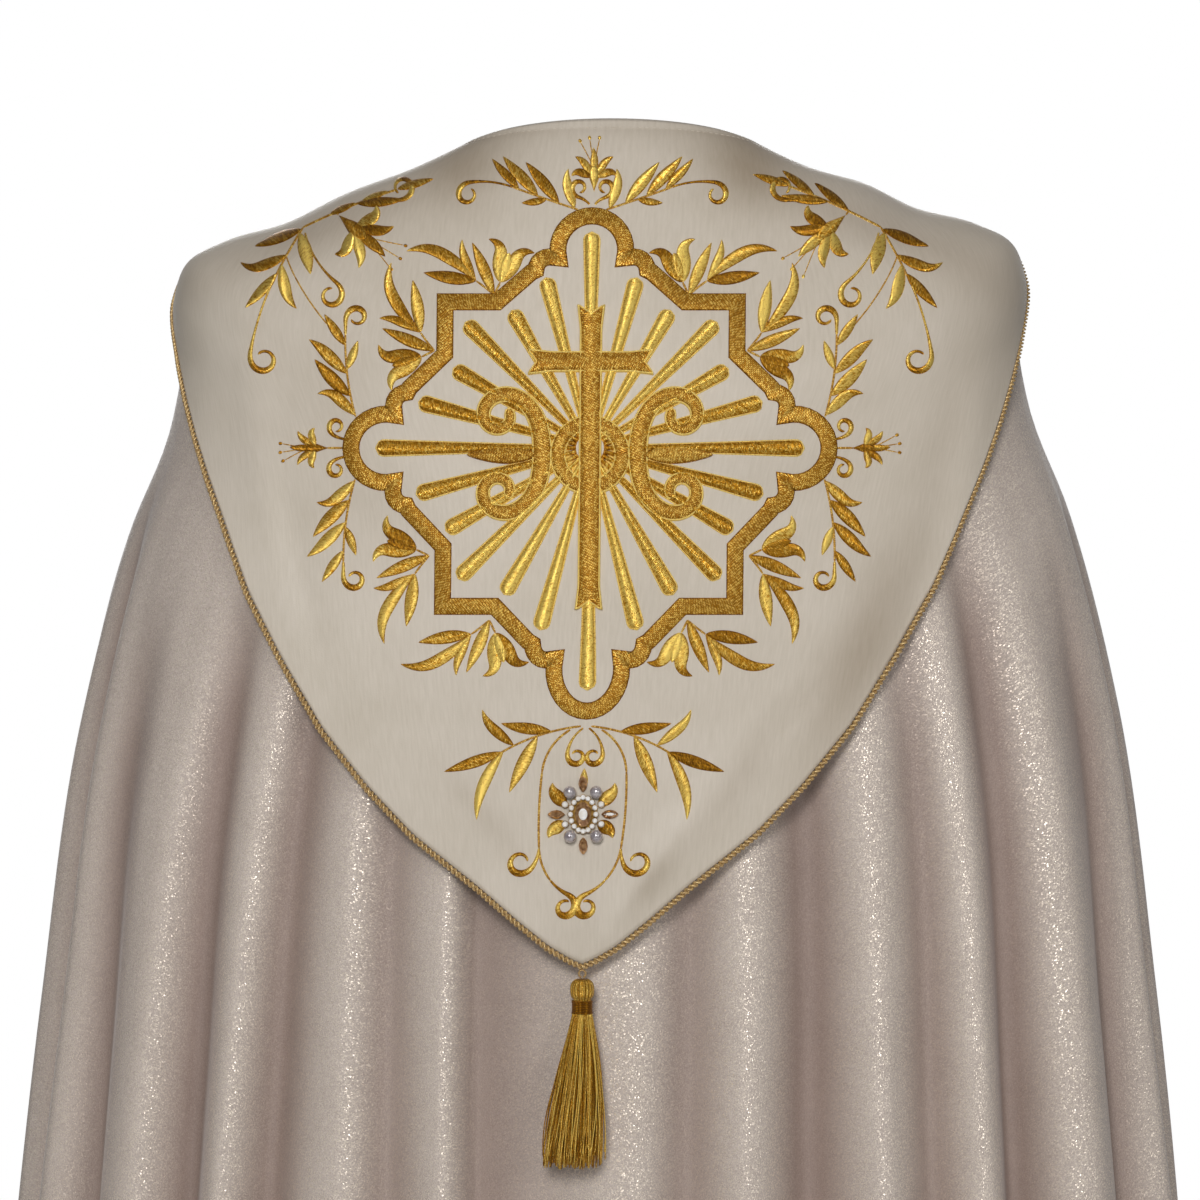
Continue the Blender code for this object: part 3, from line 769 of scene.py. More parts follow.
@dataclass
class Cloak:
    """The semicircular cloth, cut in one, that hangs from the neckline to the hem."""

    form: WornForm
    wall: float = 1.3 * MM
    columns: int = 430
    rows: int = 108
    cut_radius: float = 1.50
    even_at: float = 0.95  # the fall where the columns are equally wide
    waver: float = 0.0006
    creases: tuple = (
        # angle, fall, length, depth, width_deg
        (-28.0, 0.62, 0.22, 0.0022, 2.0),
        (4.0, 0.70, 0.30, 0.0030, 3.0),
        (0.5, 1.02, 0.34, 0.0034, 2.6),
        (29.0, 0.55, 0.20, -0.0016, 2.0),
        (17.5, 0.92, 0.30, 0.0026, 1.8),
        (-12.0, 1.10, 0.28, 0.0030, 2.2),
        (-43.0, 0.78, 0.26, 0.0024, 2.4),
        (49.0, 0.86, 0.30, 0.0030, 2.4),
        (-70.0, 0.66, 0.30, 0.0030, 3.0),
        (-88.0, 0.95, 0.30, 0.0034, 3.0),
        (71.0, 0.62, 0.26, 0.0028, 3.0),
        (86.0, 1.05, 0.30, 0.0034, 3.0),
        (-118.0, 0.80, 0.30, 0.0030, 2.6),
        (117.0, 0.72, 0.30, 0.0030, 2.6),
        (-145.0, 0.98, 0.34, 0.0034, 2.6),
        (144.0, 0.90, 0.30, 0.0030, 2.4),
        (-158.0, 0.55, 0.24, 0.0024, 2.0),
        (158.0, 1.10, 0.26, 0.0028, 2.2),
    )

    def even_angles(self, count: int) -> Array:
        """Shares a folded ring out in equal lengths of cloth.

        Args:
            count: how many angles.

        Returns:
            The angles.
        """
        fine = np.linspace(-180.0, 180.0, 2881)
        length = lengths(self.form.cloak(np.full(fine.shape, self.even_at), fine))
        return np.interp(np.linspace(0.0, length[-1], count), length, fine)

    def crease(self, fall: Array, angle: Array) -> Array:
        """Depth of the small creases and of the cloth's slight waver.

        Args:
            fall: lengths down the cloth.
            angle: degrees from the middle of the back.

        Returns:
            The depths.
        """
        depth = np.zeros(fall.shape)
        for at, middle, length, deep, width in self.creases:
            along = np.clip(1 - ((fall - middle) / length) ** 2, 0.0, 1.0) ** 2
            depth += deep * along * bell(angle - at - 2.0 * (fall - middle), 0.0, width)
        below = smooth(0.18, 0.55, fall)
        waver = np.sin(angle * 0.41 + 3.1 * fall) + 0.7 * np.sin(angle * 0.93 - 5.3 * fall + 1.0)
        waver += 0.5 * np.sin(angle * 0.19 + 11.0 * fall + 2.0)
        return depth + self.waver * below * waver

    def build(self, material: Material) -> Piece:
        """Builds the cloak.

        Args:
            material: its cloth.

        Returns:
            The piece.
        """
        form = self.form
        angles = self.even_angles(self.columns + 1)

        def at(across: Array, down: Array) -> tuple[Array, Array]:
            """Falls and angles; the rows are closer together near the neck."""
            fall = form.fall * (0.70 * down + 0.30 * down**2)
            angle = np.interp(across, np.linspace(0.0, 1.0, len(angles)), angles)
            return fall, angle * (180.0 - through(form.rings, fall, 7)) / 180.0

        def place(across: Array, down: Array) -> Array:
            """Points of the creased cloak."""
            fall, angle = at(across, down)
            return form.cloak(fall, angle) - form.outward(fall, angle) * self.crease(fall, angle)[:, None]

        def uv(across: Array, down: Array) -> Array:
            """The half circle that it is cut from."""
            return fan(at(across, down)[0], math.pi * (across - 0.5))

        mesh = bmesh.new()
        # tone: the painted shade in the folds, from WornForm.openness
        add_grid(mesh, self.columns, self.rows, place, "cloth", uv, tone=lambda *share: form.openness(*at(*share)))
        give_thickness(mesh, self.wall, Vector((0.0, 0.0, -0.8)))
        piece = finish_piece("cloak", mesh, material, ["cope_cloth"], recalculate=False)
        return piece


@dataclass
class ClaspBand:
    """The plain band that holds the two front edges together."""

    form: WornForm
    length: float = 0.150
    width: float = 0.038
    falls: tuple[float, float] = (0.090, 0.128)
    wall: float = 1.1 * MM
    rise: float = 2.0 * MM  # its face above the cloak
    columns: int = 120
    rows: int = 38

    def build(self, material: Material) -> Piece:
        """Builds the band, its edges turned under and stitched.

        Args:
            material: its cloth.

        Returns:
            The piece.
        """
        form = self.form
        reach = math.degrees(math.asin(self.length / 2 / float(through(form.rings, np.mean(self.falls)))))

        def place(across: Array, down: Array) -> Array:
            """Points of the band, with a stitched groove near its rounded edges."""
            fall = self.falls[0] + (self.falls[1] - self.falls[0]) * down
            angle = 180.0 + reach * (2 * across - 1)
            aside = np.minimum(across, 1 - across) * self.length
            edge = np.minimum(np.minimum(down, 1 - down) * self.width, aside)
            groove, rounding = bell(edge, 3.0 * MM, 0.9 * MM), 1 - smooth(0.0, 1.6 * MM, edge)
            rise = self.rise - 0.25 * MM * groove - 0.5 * MM * rounding
            return form.body(fall, angle) + form.outward(fall, angle) * rise[:, None]

        def uv(across: Array, down: Array) -> Array:
            """The flat band."""
            return np.stack([across * self.length, down * self.width], axis=-1)

        mesh = bmesh.new()
        add_grid(mesh, self.columns, self.rows, place, "cloth", uv, tone=1.0)
        give_thickness(mesh, self.wall, Vector((0.0, 0.0, -0.12)))
        piece = finish_piece("clasp_strap", mesh, material, ["clasp_band"], recalculate=False)
        return piece


# --- Hood ------------------------------------------------------------------------------------------------


@dataclass
class Hood:
    """The shield that hangs from the neck seam, over both shoulders and down to its point."""

    form: WornForm
    wall: float = 2.0 * MM
    thickness: float = 1.7 * MM
    edge: tuple = (
        # drop, half width of the outer edge as seen from behind
        (0.126, 0.2500), (0.151, 0.2425), (0.175, 0.2345), (0.199, 0.2255), (0.226, 0.2140),
        (0.268, 0.1965), (0.305, 0.1755), (0.345, 0.1505), (0.378, 0.1230), (0.404, 0.0970),
        (0.434, 0.0580), (0.452, 0.0365), (0.466, 0.0185), (0.473, 0.0060), (0.4755, 0.0),
    )
    front: tuple = (
        # angle from the middle of the back, fall of the outer edge
        (76.0, 0.2180), (82.0, 0.2040), (88.0, 0.1880), (95.0, 0.1720),
        (106.0, 0.1520), (125.0, 0.1240), (150.0, 0.0920), (172.5, 0.0660),
    )
    lifts: tuple = ((0.0, 0.0005), (0.02, 0.0018), (0.12, 0.0028), (0.2, 0.0042), (0.3, 0.0050), (0.5, 0.0100))
    front_edge: float = 172.5
    crowding: tuple[float, float] = (0.42, 0.58)  # the columns stand closer over the back
    unsure: tuple[float, float] = (74.0, 76.0)  # angles where the two tables meet, bridged evenly
    swing: Triple = (1.55, 0.14, 0.36)  # degrees that the point hangs aside, from, to a fall
    columns: int = 232
    rows: int = 150
    ripples: tuple = (
        # x, z of the crease's middle, length, slant_deg from upright, depth, width
        (-0.055, -0.385, 0.055, -38.0, 0.0022, 0.010),
        (-0.085, -0.352, 0.050, -44.0, -0.0016, 0.009),
        (-0.020, -0.425, 0.040, -30.0, 0.0016, 0.009),
        (0.060, -0.400, 0.045, 40.0, 0.0010, 0.010),
        (0.205, -0.175, 0.070, 8.0, 0.0018, 0.012),
        (-0.205, -0.200, 0.080, -10.0, 0.0018, 0.012),
        (0.180, -0.250, 0.060, 14.0, -0.0014, 0.010),
        (-0.178, -0.262, 0.060, -16.0, -0.0012, 0.010),
    )
    shades: tuple = (
        # the same, with the amount of painted shade in place of the depth; a negative amount is painted light
        (-0.143, -0.299, 0.062, -25.0, 0.62, 0.018),
        (0.087, -0.013, 0.032, 0.0, 0.50, 0.024),
        (-0.080, -0.013, 0.032, 0.0, 0.60, 0.026),
        (-0.224, -0.104, 0.050, 0.0, 0.20, 0.032),
        (0.184, -0.264, 0.095, 25.0, -0.22, 0.034),
        (0.239, -0.130, 0.050, 0.0, -0.22, 0.022),
        (-0.021, -0.430, 0.020, -40.0, 0.34, 0.007),
        (-0.006, -0.440, 0.022, -32.0, -0.14, 0.005),
        (-0.072, -0.372, 0.030, -42.0, 0.22, 0.009),
        (0.070, -0.392, 0.034, 38.0, 0.14, 0.010),
        (0.150, -0.175, 0.060, 12.0, 0.10, 0.016),
        (-0.188, -0.190, 0.060, -14.0, 0.12, 0.014),
        (0.165, -0.050, 0.090, -68.0, 0.42, 0.016),
        (-0.152, -0.050, 0.090, 68.0, 0.42, 0.016),
    )
    fine_angles: Array = field(init=False)
    fine_edge: Array = field(init=False)
    surface: BVHTree = field(init=False)
    points: list = field(init=False)
    normals: list = field(init=False)
    corners: list = field(init=False)

    def __post_init__(self) -> None:
        """Works out the fall of the edge at closely spaced angles."""
        fine = self.fine_angles = np.linspace(0.0, self.front_edge, 1381)
        sure = (fine < self.unsure[0]) | (fine >= self.unsure[1])
        self.fine_edge = np.interp(fine, fine[sure], self.edge_fall(fine)[sure])

    def spread_angles(self, count: int) -> Array:
        """Angles from the right front edge round the back to the left one."""
        spread = np.linspace(-1.0, 1.0, count)
        return self.front_edge * (self.crowding[0] * spread + self.crowding[1] * spread * np.abs(spread))

    def edge_fall(self, angle: Array) -> Array:
        """Fall of the outer edge at angles from the middle of the back.

        Args:
            angle: degrees, not negative.

        Returns:
            The falls.
        """
        low, high = np.full(angle.shape, 0.15), np.full(angle.shape, 0.60)
        drops, halves = [row[0] for row in self.edge], [row[1] for row in self.edge]
        for _ in range(40):
            middle = 0.5 * (low + high)
            lift = through(self.lifts, middle)[:, None]
            point = self.form.body(middle, angle) + self.form.outward(middle, angle) * lift
            half = np.interp(-point[:, 2], drops, halves)
            inside = np.where(angle > 0, point[:, 0] - self.form.body_shift < half, -point[:, 2] < drops[-1])
            low, high = np.where(inside, middle, low), np.where(inside, high, middle)
        return np.where(angle >= self.front[0][0], through(self.front, angle), low)

    def edge_at(self, angle: Array) -> Array:
        """Fall of the outer edge at any angle."""
        return np.interp(np.abs(angle), self.fine_angles, self.fine_edge)

    def point(self, fall: Array, angle: Array, lift: float | Array = 0.0) -> Array:
        """Points of the hood.

        Args:
            fall: lengths down the cloth.
            angle: degrees from the middle of the back.
            lift: how far they lie out from its inner face.

        Returns:
            The points.
        """
        swing, start, end = self.swing
        turned = angle + swing * smooth(start, end, fall) * (np.abs(angle) < 120)
        out = (through(self.lifts, fall) + lift)[..., None]
        return self.form.body(fall, turned) + self.form.outward(fall, turned) * out

    @staticmethod
    def creased(points: Array, rows: Sequence[Sequence[float]]) -> Array:
        """The sum of a table's soft streaks: creases in the cloth, or painted shade and light.

        Args:
            points: points of the hood's back.
            rows: the table.

        Returns:
            The sum at each point.
        """
        x, z = points[:, 0], points[:, 2]
        total = np.zeros(len(points))
        for across, up, length, slant, amount, width in rows:
            lean = math.radians(slant)
            along = (x - across) * math.sin(lean) + (z - up) * math.cos(lean)
            aside = (x - across) * math.cos(lean) - (z - up) * math.sin(lean)
            total += amount * np.exp(-((along / length) ** 2) - (aside / width) ** 2)
        return total * smooth(-0.04, 0.0, points[:, 1])

    def ripple(self, points: Array) -> Array:
        """Height of the soft creases.

        Args:
            points: points of the hood's back.

        Returns:
            The height at each point.
        """
        x, z = points[:, 0], points[:, 2]
        waver = np.where(points[:, 1] > -0.02, np.sin(x * 71 + 13 * z) * np.sin(z * 47 + 1.7), 0.0)
        return self.creased(points, self.ripples) + 0.00025 * waver

    def build(self, material: Material) -> Piece:
        """Builds the shield and keeps its outer face for the needlework.

        Args:
            material: its cloth.

        Returns:
            The piece.
        """
        angles = self.spread_angles(801)
        inside = Vector((0.0, 0.0, -0.25))

        def at(across: Array, down: Array) -> tuple[Array, Array]:
            """Falls and angles."""
            angle = np.interp(across, np.linspace(0.0, 1.0, len(angles)), angles)
            return down * self.edge_at(angle), angle

        def place(across: Array, down: Array) -> Array:
            """Points with the creases, and the seam, its tucks and the rounded fold at the neck."""
            fall, angle = at(across, down)
            ripple = self.ripple(self.point(fall, angle, self.wall)) * smooth(0.0, 0.08, fall)
            seam = -0.35 * MM * bell(fall, 7 * MM, 1.1 * MM)
            tucks = 0.18 * MM * np.sin(angle * 2.4) * bell(fall, 5 * MM, 4 * MM)
            rounded = -0.5 * MM * (1 - smooth(0.0, 1.5 * MM, fall))
            return self.point(fall, angle, self.wall + ripple + seam + tucks + rounded)

        def uv(across: Array, down: Array) -> Array:
            """The part of a circle that it is cut from."""
            fall, angle = at(across, down)
            return fan(fall, np.radians(angle) / 2)

        def tone(across: Array, down: Array) -> Array:
            """Painted light and shade: less light below the neck seam and in its shades, more where a shade's
            amount is negative.
            """
            fall, angle = at(across, down)
            below_seam = 0.30 * smooth(6 * MM, 7.5 * MM, fall) * np.exp(-(fall - 7 * MM).clip(0.0) / (9 * MM))
            return 0.84 - below_seam - self.creased(self.point(fall, angle), self.shades)

        mesh = bmesh.new()
        add_grid(mesh, self.columns, self.rows, place, "cloth", uv, tone=tone)
        face_outwards(mesh, inside)
        mesh.verts.index_update()
        self.points = [v.co.copy() for v in mesh.verts]
        self.normals = [v.normal.copy() for v in mesh.verts]
        self.corners = [[v.index for v in face.verts] for face in mesh.faces]
        self.surface = BVHTree.FromPolygons(self.points, self.corners)
        give_thickness(mesh, self.thickness, inside)
        piece = finish_piece("hood_shield", mesh, material, ["hood"], recalculate=False)
        return piece

    def rim(self, inset: float = 0.0) -> Array:
        """Points along the outer edge, from the right front round the point to the left front."""
        angle = self.spread_angles(1601)
        return self.point(self.edge_at(angle) - inset, angle, self.wall / 2)

    def cord_path(self, radius: float, gap: float, proud: float) -> Array:
        """Centre line of a cord that lies against the outer edge.

        Args:
            radius: the cord's radius.
            gap: how far it stays from the edge.
            proud: how far it stands out from the middle of the cloth.

        Returns:
            Its points.
        """
        rim = self.rim()
        along, out = np.gradient(rim, axis=0), rim - self.rim(inset=0.01)
        out -= along * (np.sum(out * along, axis=1) / np.sum(along * along, axis=1))[:, None]
        out /= np.linalg.norm(out, axis=1)[:, None]
        face = np.cross(along, out)
        face /= np.linalg.norm(face, axis=1)[:, None]
        face *= np.sign(np.sum(face[:, :2] * rim[:, :2], axis=1))[:, None]
        return rim + out * (radius + gap) + face * proud


@dataclass
class EdgeCord:
    """The twisted cord sewn round the hood's edge, two plies of gold yarn."""

    hood: Hood
    radius: float = 1.85 * MM
    gap: float = 0.05 * MM
    proud: float = 0.7 * MM
    pitch: float = 6.2 * MM

    def build(self, material: Material) -> Piece:
        """Builds both plies.

        Args:
            material: its yarn.

        Returns:
            The piece.
        """
        path = self.hood.cord_path(self.radius, self.gap, self.proud)
        mesh = bmesh.new()
        for ply in range(2):
            wind = (self.radius * 0.46, self.pitch, math.pi * ply)
            add_cord(mesh, path, self.radius * 0.60, sides=7, wind=wind)
        return finish_piece("hood_edge_cord", mesh, material, ["hood_cord"])


@dataclass
class NeckStitching:
    """A row of short stitches just below the neck edge."""

    hood: Hood
    fall: float = 7 * MM
    length: float = 2.6 * MM
    spacing: float = 3.9 * MM
    reach: float = 168.0  # degrees to both sides of the back

    def build(self, material: Material) -> Piece:
        """Builds the row.

        Args:
            material: its thread.

        Returns:
            The piece.
        """
        angle = np.linspace(-self.reach, self.reach, 2000)
        line = self.hood.point(np.full(angle.shape, self.fall), angle, self.hood.wall - 0.15 * MM)
        length = lengths(line)

        def radius(share: Array) -> Array:
            """The thread's radius, rounded off at its ends."""
            return 0.24 * MM * np.sqrt(np.clip(1.02 - (2 * share - 1) ** 4, 0, 1))

        mesh = bmesh.new()
        start = self.spacing
        while start < length[-1] - self.spacing:
            path = sampled(line, length, np.linspace(start, start + self.length, 5))
            add_cord(mesh, path, radius, sides=5, steps=4, tone=0.95)
            start += self.spacing
        return finish_piece("neck_stitches", mesh, material)


# --- Needlework ------------------------------------------------------------------------------------------


@dataclass(frozen=True)
class Strip:
    """A stitched shape: its middle line in millimetres, half widths, raise and thread."""

    line: Array
    side: Array
    half: Array
    raised: float
    stitch: Stitch
    slant: float
    cells: int
    tone: float
    painted_sheen: float = 0.0  # painted sheen: how much its painted lightness follows the way it runs
    fork: float = 0.0  # how far the corners of its ends stand beyond their middle


@dataclass
class Needlework:
    """Gold embroidery on the hood's back, laid out in millimetres about the middle of the lobed frame, as it
    is seen from behind: u to the right, v up. Angles turn from u towards v."""

    hood: Hood
    centre: tuple[float, float] = (-5.75, 87.4)
    sink: float = 0.22  # how far each strip's edges sink into the cloth, in millimetres
    strips: list = field(default_factory=list)
    flipped: bool = False

    def turned(self, u: float, v: float, angle: float, bend: float) -> tuple[float, float, float, float]:
        """Mirrors a placing when the other half is being laid out."""
        return (-u, v, 180.0 - angle, -bend) if self.flipped else (u, v, angle, bend)

    @staticmethod
    def along(u: float, v: float, heading: Array, length: float) -> Array:
        """Draws a line from a point.

        Args:
            u: start, to the right.
            v: start, up.
            heading: its headings in degrees, at even steps along it.
            length: its length.

        Returns:
            Its points.
        """
        way = np.radians(heading)
        step = length / (len(way) - 1)
        turns = (np.concatenate([[0.0], np.cumsum(0.5 * (f(way[1:]) + f(way[:-1])))]) for f in (np.cos, np.sin))
        return np.stack([start + turn * step for start, turn in zip((u, v), turns)], axis=-1)

    @staticmethod
    def sideways(line: Array) -> Array:
        """Finds the way across a line.

        Args:
            line: points of a smooth line.

        Returns:
            A unit vector for each point.
        """
        step = np.gradient(line, axis=0)
        step /= np.linalg.norm(step, axis=1, keepdims=True)
        return np.stack([-step[:, 1], step[:, 0]], axis=-1)

    def lay(self, line: Array, half: Array, raised: float, stitch: Stitch, *looks: float) -> None:
        """Adds a strip along a smooth line; looks are its slant, cells, tone and painted sheen."""
        self.strips.append(Strip(line, self.sideways(line), half, raised, stitch, *looks))

    def leaf(
        self, u: float, v: float, angle: float, length: float, width: float, bend: float = 0.0,
        hook: float = 0.0, peak: float = 0.45, raised: float = 1.2, blunt: float = 1.0,
        stitch: Stitch = Stitch.SATIN,
    ) -> None:
        """Lays a stitched leaf.

        Args:
            u: start, to the right.
            v: start, up.
            angle: heading at the start.
            length: length along the middle.
            width: greatest width.
            bend: how far the middle turns.
            hook: how far the tip turns beyond that.
            peak: share of the length where it is widest.
            raised: height of its padding in millimetres.
            blunt: 1 for a pointed tip, less for a rounder one.
            stitch: its thread.
        """
        u, v, angle, bend = self.turned(u, v, angle, bend)
        hook = -hook if self.flipped else hook
        share = np.linspace(0.0, 1.0, max(8, int(length / 1.2)))
        line = self.along(u, v, angle + bend * share + hook * smooth(0.5, 1.0, share), length)
        swell = np.sin(math.pi * share ** (math.log(0.5) / math.log(peak))).clip(0.0)
        half = 0.50 * width * swell ** (0.85 * blunt)
        tone = 0.5 + 0.12 * math.sin(2.4 * len(self.strips))
        self.lay(line, half, raised, stitch, 0.6, 8, tone, 0.27 if stitch is Stitch.SATIN else 0.0)

    def stem(self, u: float, v: float, angle: float, length: float, bend: float, width: float = 1.5) -> Triple:
        """Lays a thin stem.

        Args:
            u: start, to the right.
            v: start, up.
            angle: heading at the start.
            length: its length.
            bend: how far it turns.
            width: its width.

        Returns:
            Where it ends and its heading there, in the layout before any mirroring.
        """
        a, b, heading, turn = self.turned(u, v, angle, bend)
        count = max(6, int(length / 1.6))
        line = self.along(a, b, heading + turn * np.linspace(0.0, 1.0, count), length)
        half = np.full(count, width / 2)
        half[0] = half[-1] = width / 2.6
        self.lay(line, half, 0.8, Stitch.LINE, 0.2, 4, 0.35)
        return float(line[-1, 0]) * (-1 if self.flipped else 1), float(line[-1, 1]), angle + bend

    def tendril(
        self, u: float, v: float, angle: float, length: float, bend: float, curl: float,
        coil: float = 34.0, width: float = 3.2,
    ) -> None:
        """Lays a stem that ends in a curl, thickest inside the curl.

        Args:
            u: start, to the right.
            v: start, up.
            angle: heading at the start.
            length: length of the stem before the curl.
            bend: turn of the stem.
            curl: turn of the curl, of either sign.
            coil: length of the curl.
            width: greatest width.
        """
        u, v, angle, bend = self.turned(u, v, angle, bend)
        curl = -curl if self.flipped else curl
        total = length + coil
        at = np.linspace(0.0, total, int(total / 0.8))
        turn = bend * np.clip(at / length, 0, 1) + curl * np.clip((at - length) / coil, 0, 1) ** 1.35
        line = self.along(u, v, angle + turn, total)
        swell = bell(at - length, 0.36 * coil, 0.40 * coil)
        half = 0.65 + (0.6 * width - 0.65) * swell
        half *= np.sqrt(np.clip((total - at) / 1.6, 0.02, 1.0))
        self.lay(line, half, 1.1, Stitch.SATIN, 0.3, 6, 0.45, 0.3)

    def bud(self, u: float, v: float, angle: float, size: float) -> None:
        """Lays a tulip bud: a swelling body between two petals whose tips turn out.

        Args:
            u: start, to the right.
            v: start, up.
            angle: heading.
            size: its length.
        """
        for way in (1, -1):
            self.leaf(u, v, angle + 25 * way, size, size * 0.30, -30 * way, 96 * way, 0.42)
        self.leaf(u, v, angle, size * 0.62, size * 0.27, 0, 0, 0.5, 1.5, 0.8)

    def lily(self, u: float, v: float, angle: float, size: float) -> None:
        """Lays an open lily: a trumpet, petals that fan out and turn back, and stamens beyond them.

        Args:
            u: start, to the right.
            v: start, up.
            angle: heading.
            size: its length.
        """
        ahead = np.array([math.cos(math.radians(angle)), math.sin(math.radians(angle))]) * size
        a, b = (u, v) + ahead * 0.32
        for turn, reach, wide, hook in (
            (-70, 0.54, 0.19, -74), (70, 0.54, 0.19, 74), (-35, 0.62, 0.18, -34), (35, 0.62, 0.18, 34),
            (0, 0.64, 0.18, 8),
        ):
            self.leaf(a, b, angle + turn, size * reach, size * wide, 0, hook, 0.5)
        self.leaf(u, v, angle, size * 0.58, size * 0.24, 0, 0, 0.68, 1.7, 0.8)
        for k in (-1, 0, 1):
            lean = 16 * k - 9 if self.flipped else 16 * k + 9
            a, b = (u, v) + ahead * 0.5
            a, b, _ = self.stem(a, b, angle + lean, size * 0.62, 5 * k, 0.8)
            self.leaf(a, b, angle + lean, 2.8, 2.0, 0, 0, 0.5, 0.9, 0.6)

    def frond(
        self, u: float, v: float, angle: float, length: float, bend: float,
        leaves: Sequence[tuple[float, float, float, float, float, float]],
    ) -> Triple:
        """Lays a stem with leaves along it.

        Args:
            u: start, to the right.
            v: start, up.
            angle: heading at the start.
            length: length of the stem.
            bend: turn of the stem.
            leaves: share along the stem, spread from it, length, width, bend and hook of each leaf.

        Returns:
            Where the stem ends and its heading.
        """
        line = self.along(u, v, angle + bend * np.linspace(0.0, 1.0, 60), length)
        for share, spread, long, wide, turn, hook in leaves:
            a, b = line[int(share * 59)]
            self.leaf(a, b, angle + bend * share + spread, long, wide, turn, hook)
        return self.stem(u, v, angle, length, bend)

    def band(
        self, corners: Array, width: float, closed: bool, outline: bool = True, raised: float = 0.9,
        fork: float = 0.0,
    ) -> None:
        """Lays a band of fill stitches with mitred corners, and a raised line along both edges.

        Args:
            corners: its middle line, with few points where it is straight.
            width: its width.
            closed: whether it returns to its start.
            outline: whether its edges are outlined.
            raised: its height in millimetres.
            fork: how far the corners of its open ends stand out, the ends flaring towards them.
        """
        before, after = (corners[-1], corners[0]) if closed else 2 * corners[[0, -1]] - corners[[1, -2]]
        ring = np.vstack([before, corners, after])
        step = np.diff(ring, axis=0)
        step /= np.linalg.norm(step, axis=1, keepdims=True)
        normal = np.stack([-step[:, 1], step[:, 0]], axis=-1)
        mitre = normal[:-1] + normal[1:]
        mitre /= np.maximum(np.sum(mitre * normal[1:], axis=1), 0.35)[:, None]
        if closed:  # it laps over its start
            corners, mitre = np.vstack([corners, corners[:2]]), np.vstack([mitre, mitre[:2]])
        at = lengths(corners)
        cuts = [np.linspace(a, b, max(2, int((b - a) / 1.4) + 1))[:-1] for a, b in zip(at, at[1:])]
        where = np.concatenate([*cuts, [at[-1]]])
        line, side = sampled(corners, at, where), sampled(mitre, at, where)
        half = np.full(len(line), width / 2)
        if fork:
            half += 0.32 * fork * bell(np.minimum(where, where[-1] - where), 0.0, 4.5)
        self.strips.append(Strip(line, side, half, raised, Stitch.FILL, 0.25, 10, 0.42, 0.0, fork))
        if outline:
            self.outline(line, side, half - 0.15, raised + 0.2, fork)

    def outline(self, line: Array, side: Array, half: Array, raised: float, fork: float = 0.0) -> None:
        """Lays a bright line along both edges of a strip, and into its forked ends.

        Args:
            line: the strip's middle.
            side: unit vectors across it.
            half: how far the line is from the middle.
            raised: height in millimetres.
            fork: how far the corners of its ends stand out.
        """
        for sign in (-1, 1):
            edge = line + side * (sign * half)[:, None]
            if fork:
                first, last = line[0] - line[1], line[-1] - line[-2]
                start, end = (edge[k] + way / np.linalg.norm(way) * fork for k, way in ((0, first), (-1, last)))
                share = np.linspace(0.0, 1.0, 7)[:, None]
                edge = np.vstack([line[0] + (start - line[0]) * share, edge[4:-4], end + (line[-1] - end) * share])
            self.lay(edge, np.full(len(edge), 0.75), raised, Stitch.LINE, 0.3, 4, 0.95)

    def on_hood(self, u: Array, v: Array, lift: Array) -> Array:
        """Projects layout points onto the hood.

        Args:
            u: millimetres to the right.
            v: millimetres up.
            lift: metres above the cloth.

        Returns:
            The points.
        """
        eye, hood = Vector(EYE), self.hood
        points = np.zeros((len(u), 3))
        for i, (a, b, out) in enumerate(zip(u, v, lift)):
            a = a + 0.009 * b - 0.00022 * min(b + 100.0, 0.0) ** 2  # the hood hangs a little askew
            aim = Vector((eye.x - (a + self.centre[0]) * MM, 0.12, eye.z + (b + self.centre[1]) * MM)) - eye
            hit, _, index, _ = hood.surface.ray_cast(eye, aim.normalized())
            if hit is None:
                hit, _, index, _ = hood.surface.find_nearest(eye + aim * 1.02)
            corners = hood.corners[index]
            weights = poly_3d_calc([hood.points[k] for k in corners], hit)
            normal = sum((hood.normals[k] * w for k, w in zip(corners, weights)), Vector((0.0, 0.0, 0.0)))
            points[i] = hit + normal.normalized() * out
        return points

    def sew(self, mesh: Mesh, strip: Strip, offset: float) -> None:
        """Makes one strip on the hood.

        Args:
            mesh: the bmesh that gets it.
            strip: its layout.
            offset: a shift of its stitch pattern.
        """
        count, at = len(strip.line), lengths(strip.line)
        ends = np.minimum(1.0, np.minimum(at, at[-1] - at) / 1.2 + (0.7 if strip.stitch is Stitch.LINE else 0.15))
        heading = np.gradient(strip.line, axis=0)
        heading /= np.linalg.norm(heading, axis=1, keepdims=True)

        def spread(across: Array, along: Array) -> tuple[Array, Array]:
            """How far out from the middle each point is, from -1 to 1, and its row."""
            return np.sin((across - 0.5) * math.pi), np.rint(along * (count - 1)).astype(int)

        def place(across: Array, along: Array) -> Array:
            """Points of the padded strip on the hood."""
            t, i = spread(across, along)
            flat = strip.line[i] + strip.side[i] * (strip.half[i] * t)[:, None]
            if strip.fork:
                near = np.stack([1 - at[i] / 9.0, 1 - (at[-1] - at[i]) / 9.0]).clip(0.0)
                flat += heading[i] * ((near[1] - near[0]) * np.abs(t) * strip.fork)[:, None]
            crown = np.sqrt(np.clip(1 - t**2, 0.0, 1.0))
            if strip.stitch is Stitch.FILL:
                crown = crown**0.45
            scale = ends[i] * np.minimum(1.0, 0.25 + strip.half[i] / 1.2)
            return self.on_hood(flat[:, 0], flat[:, 1], (strip.raised * crown * scale - self.sink) * MM)

        def uv(across: Array, along: Array) -> Array:
            """Along and across the strip, slanted as its stitches are."""
            t, i = spread(across, along)
            aside = t * strip.half[i]
            return np.stack([(at[i] + strip.slant * aside) * MM + offset, aside * MM + offset], axis=-1)

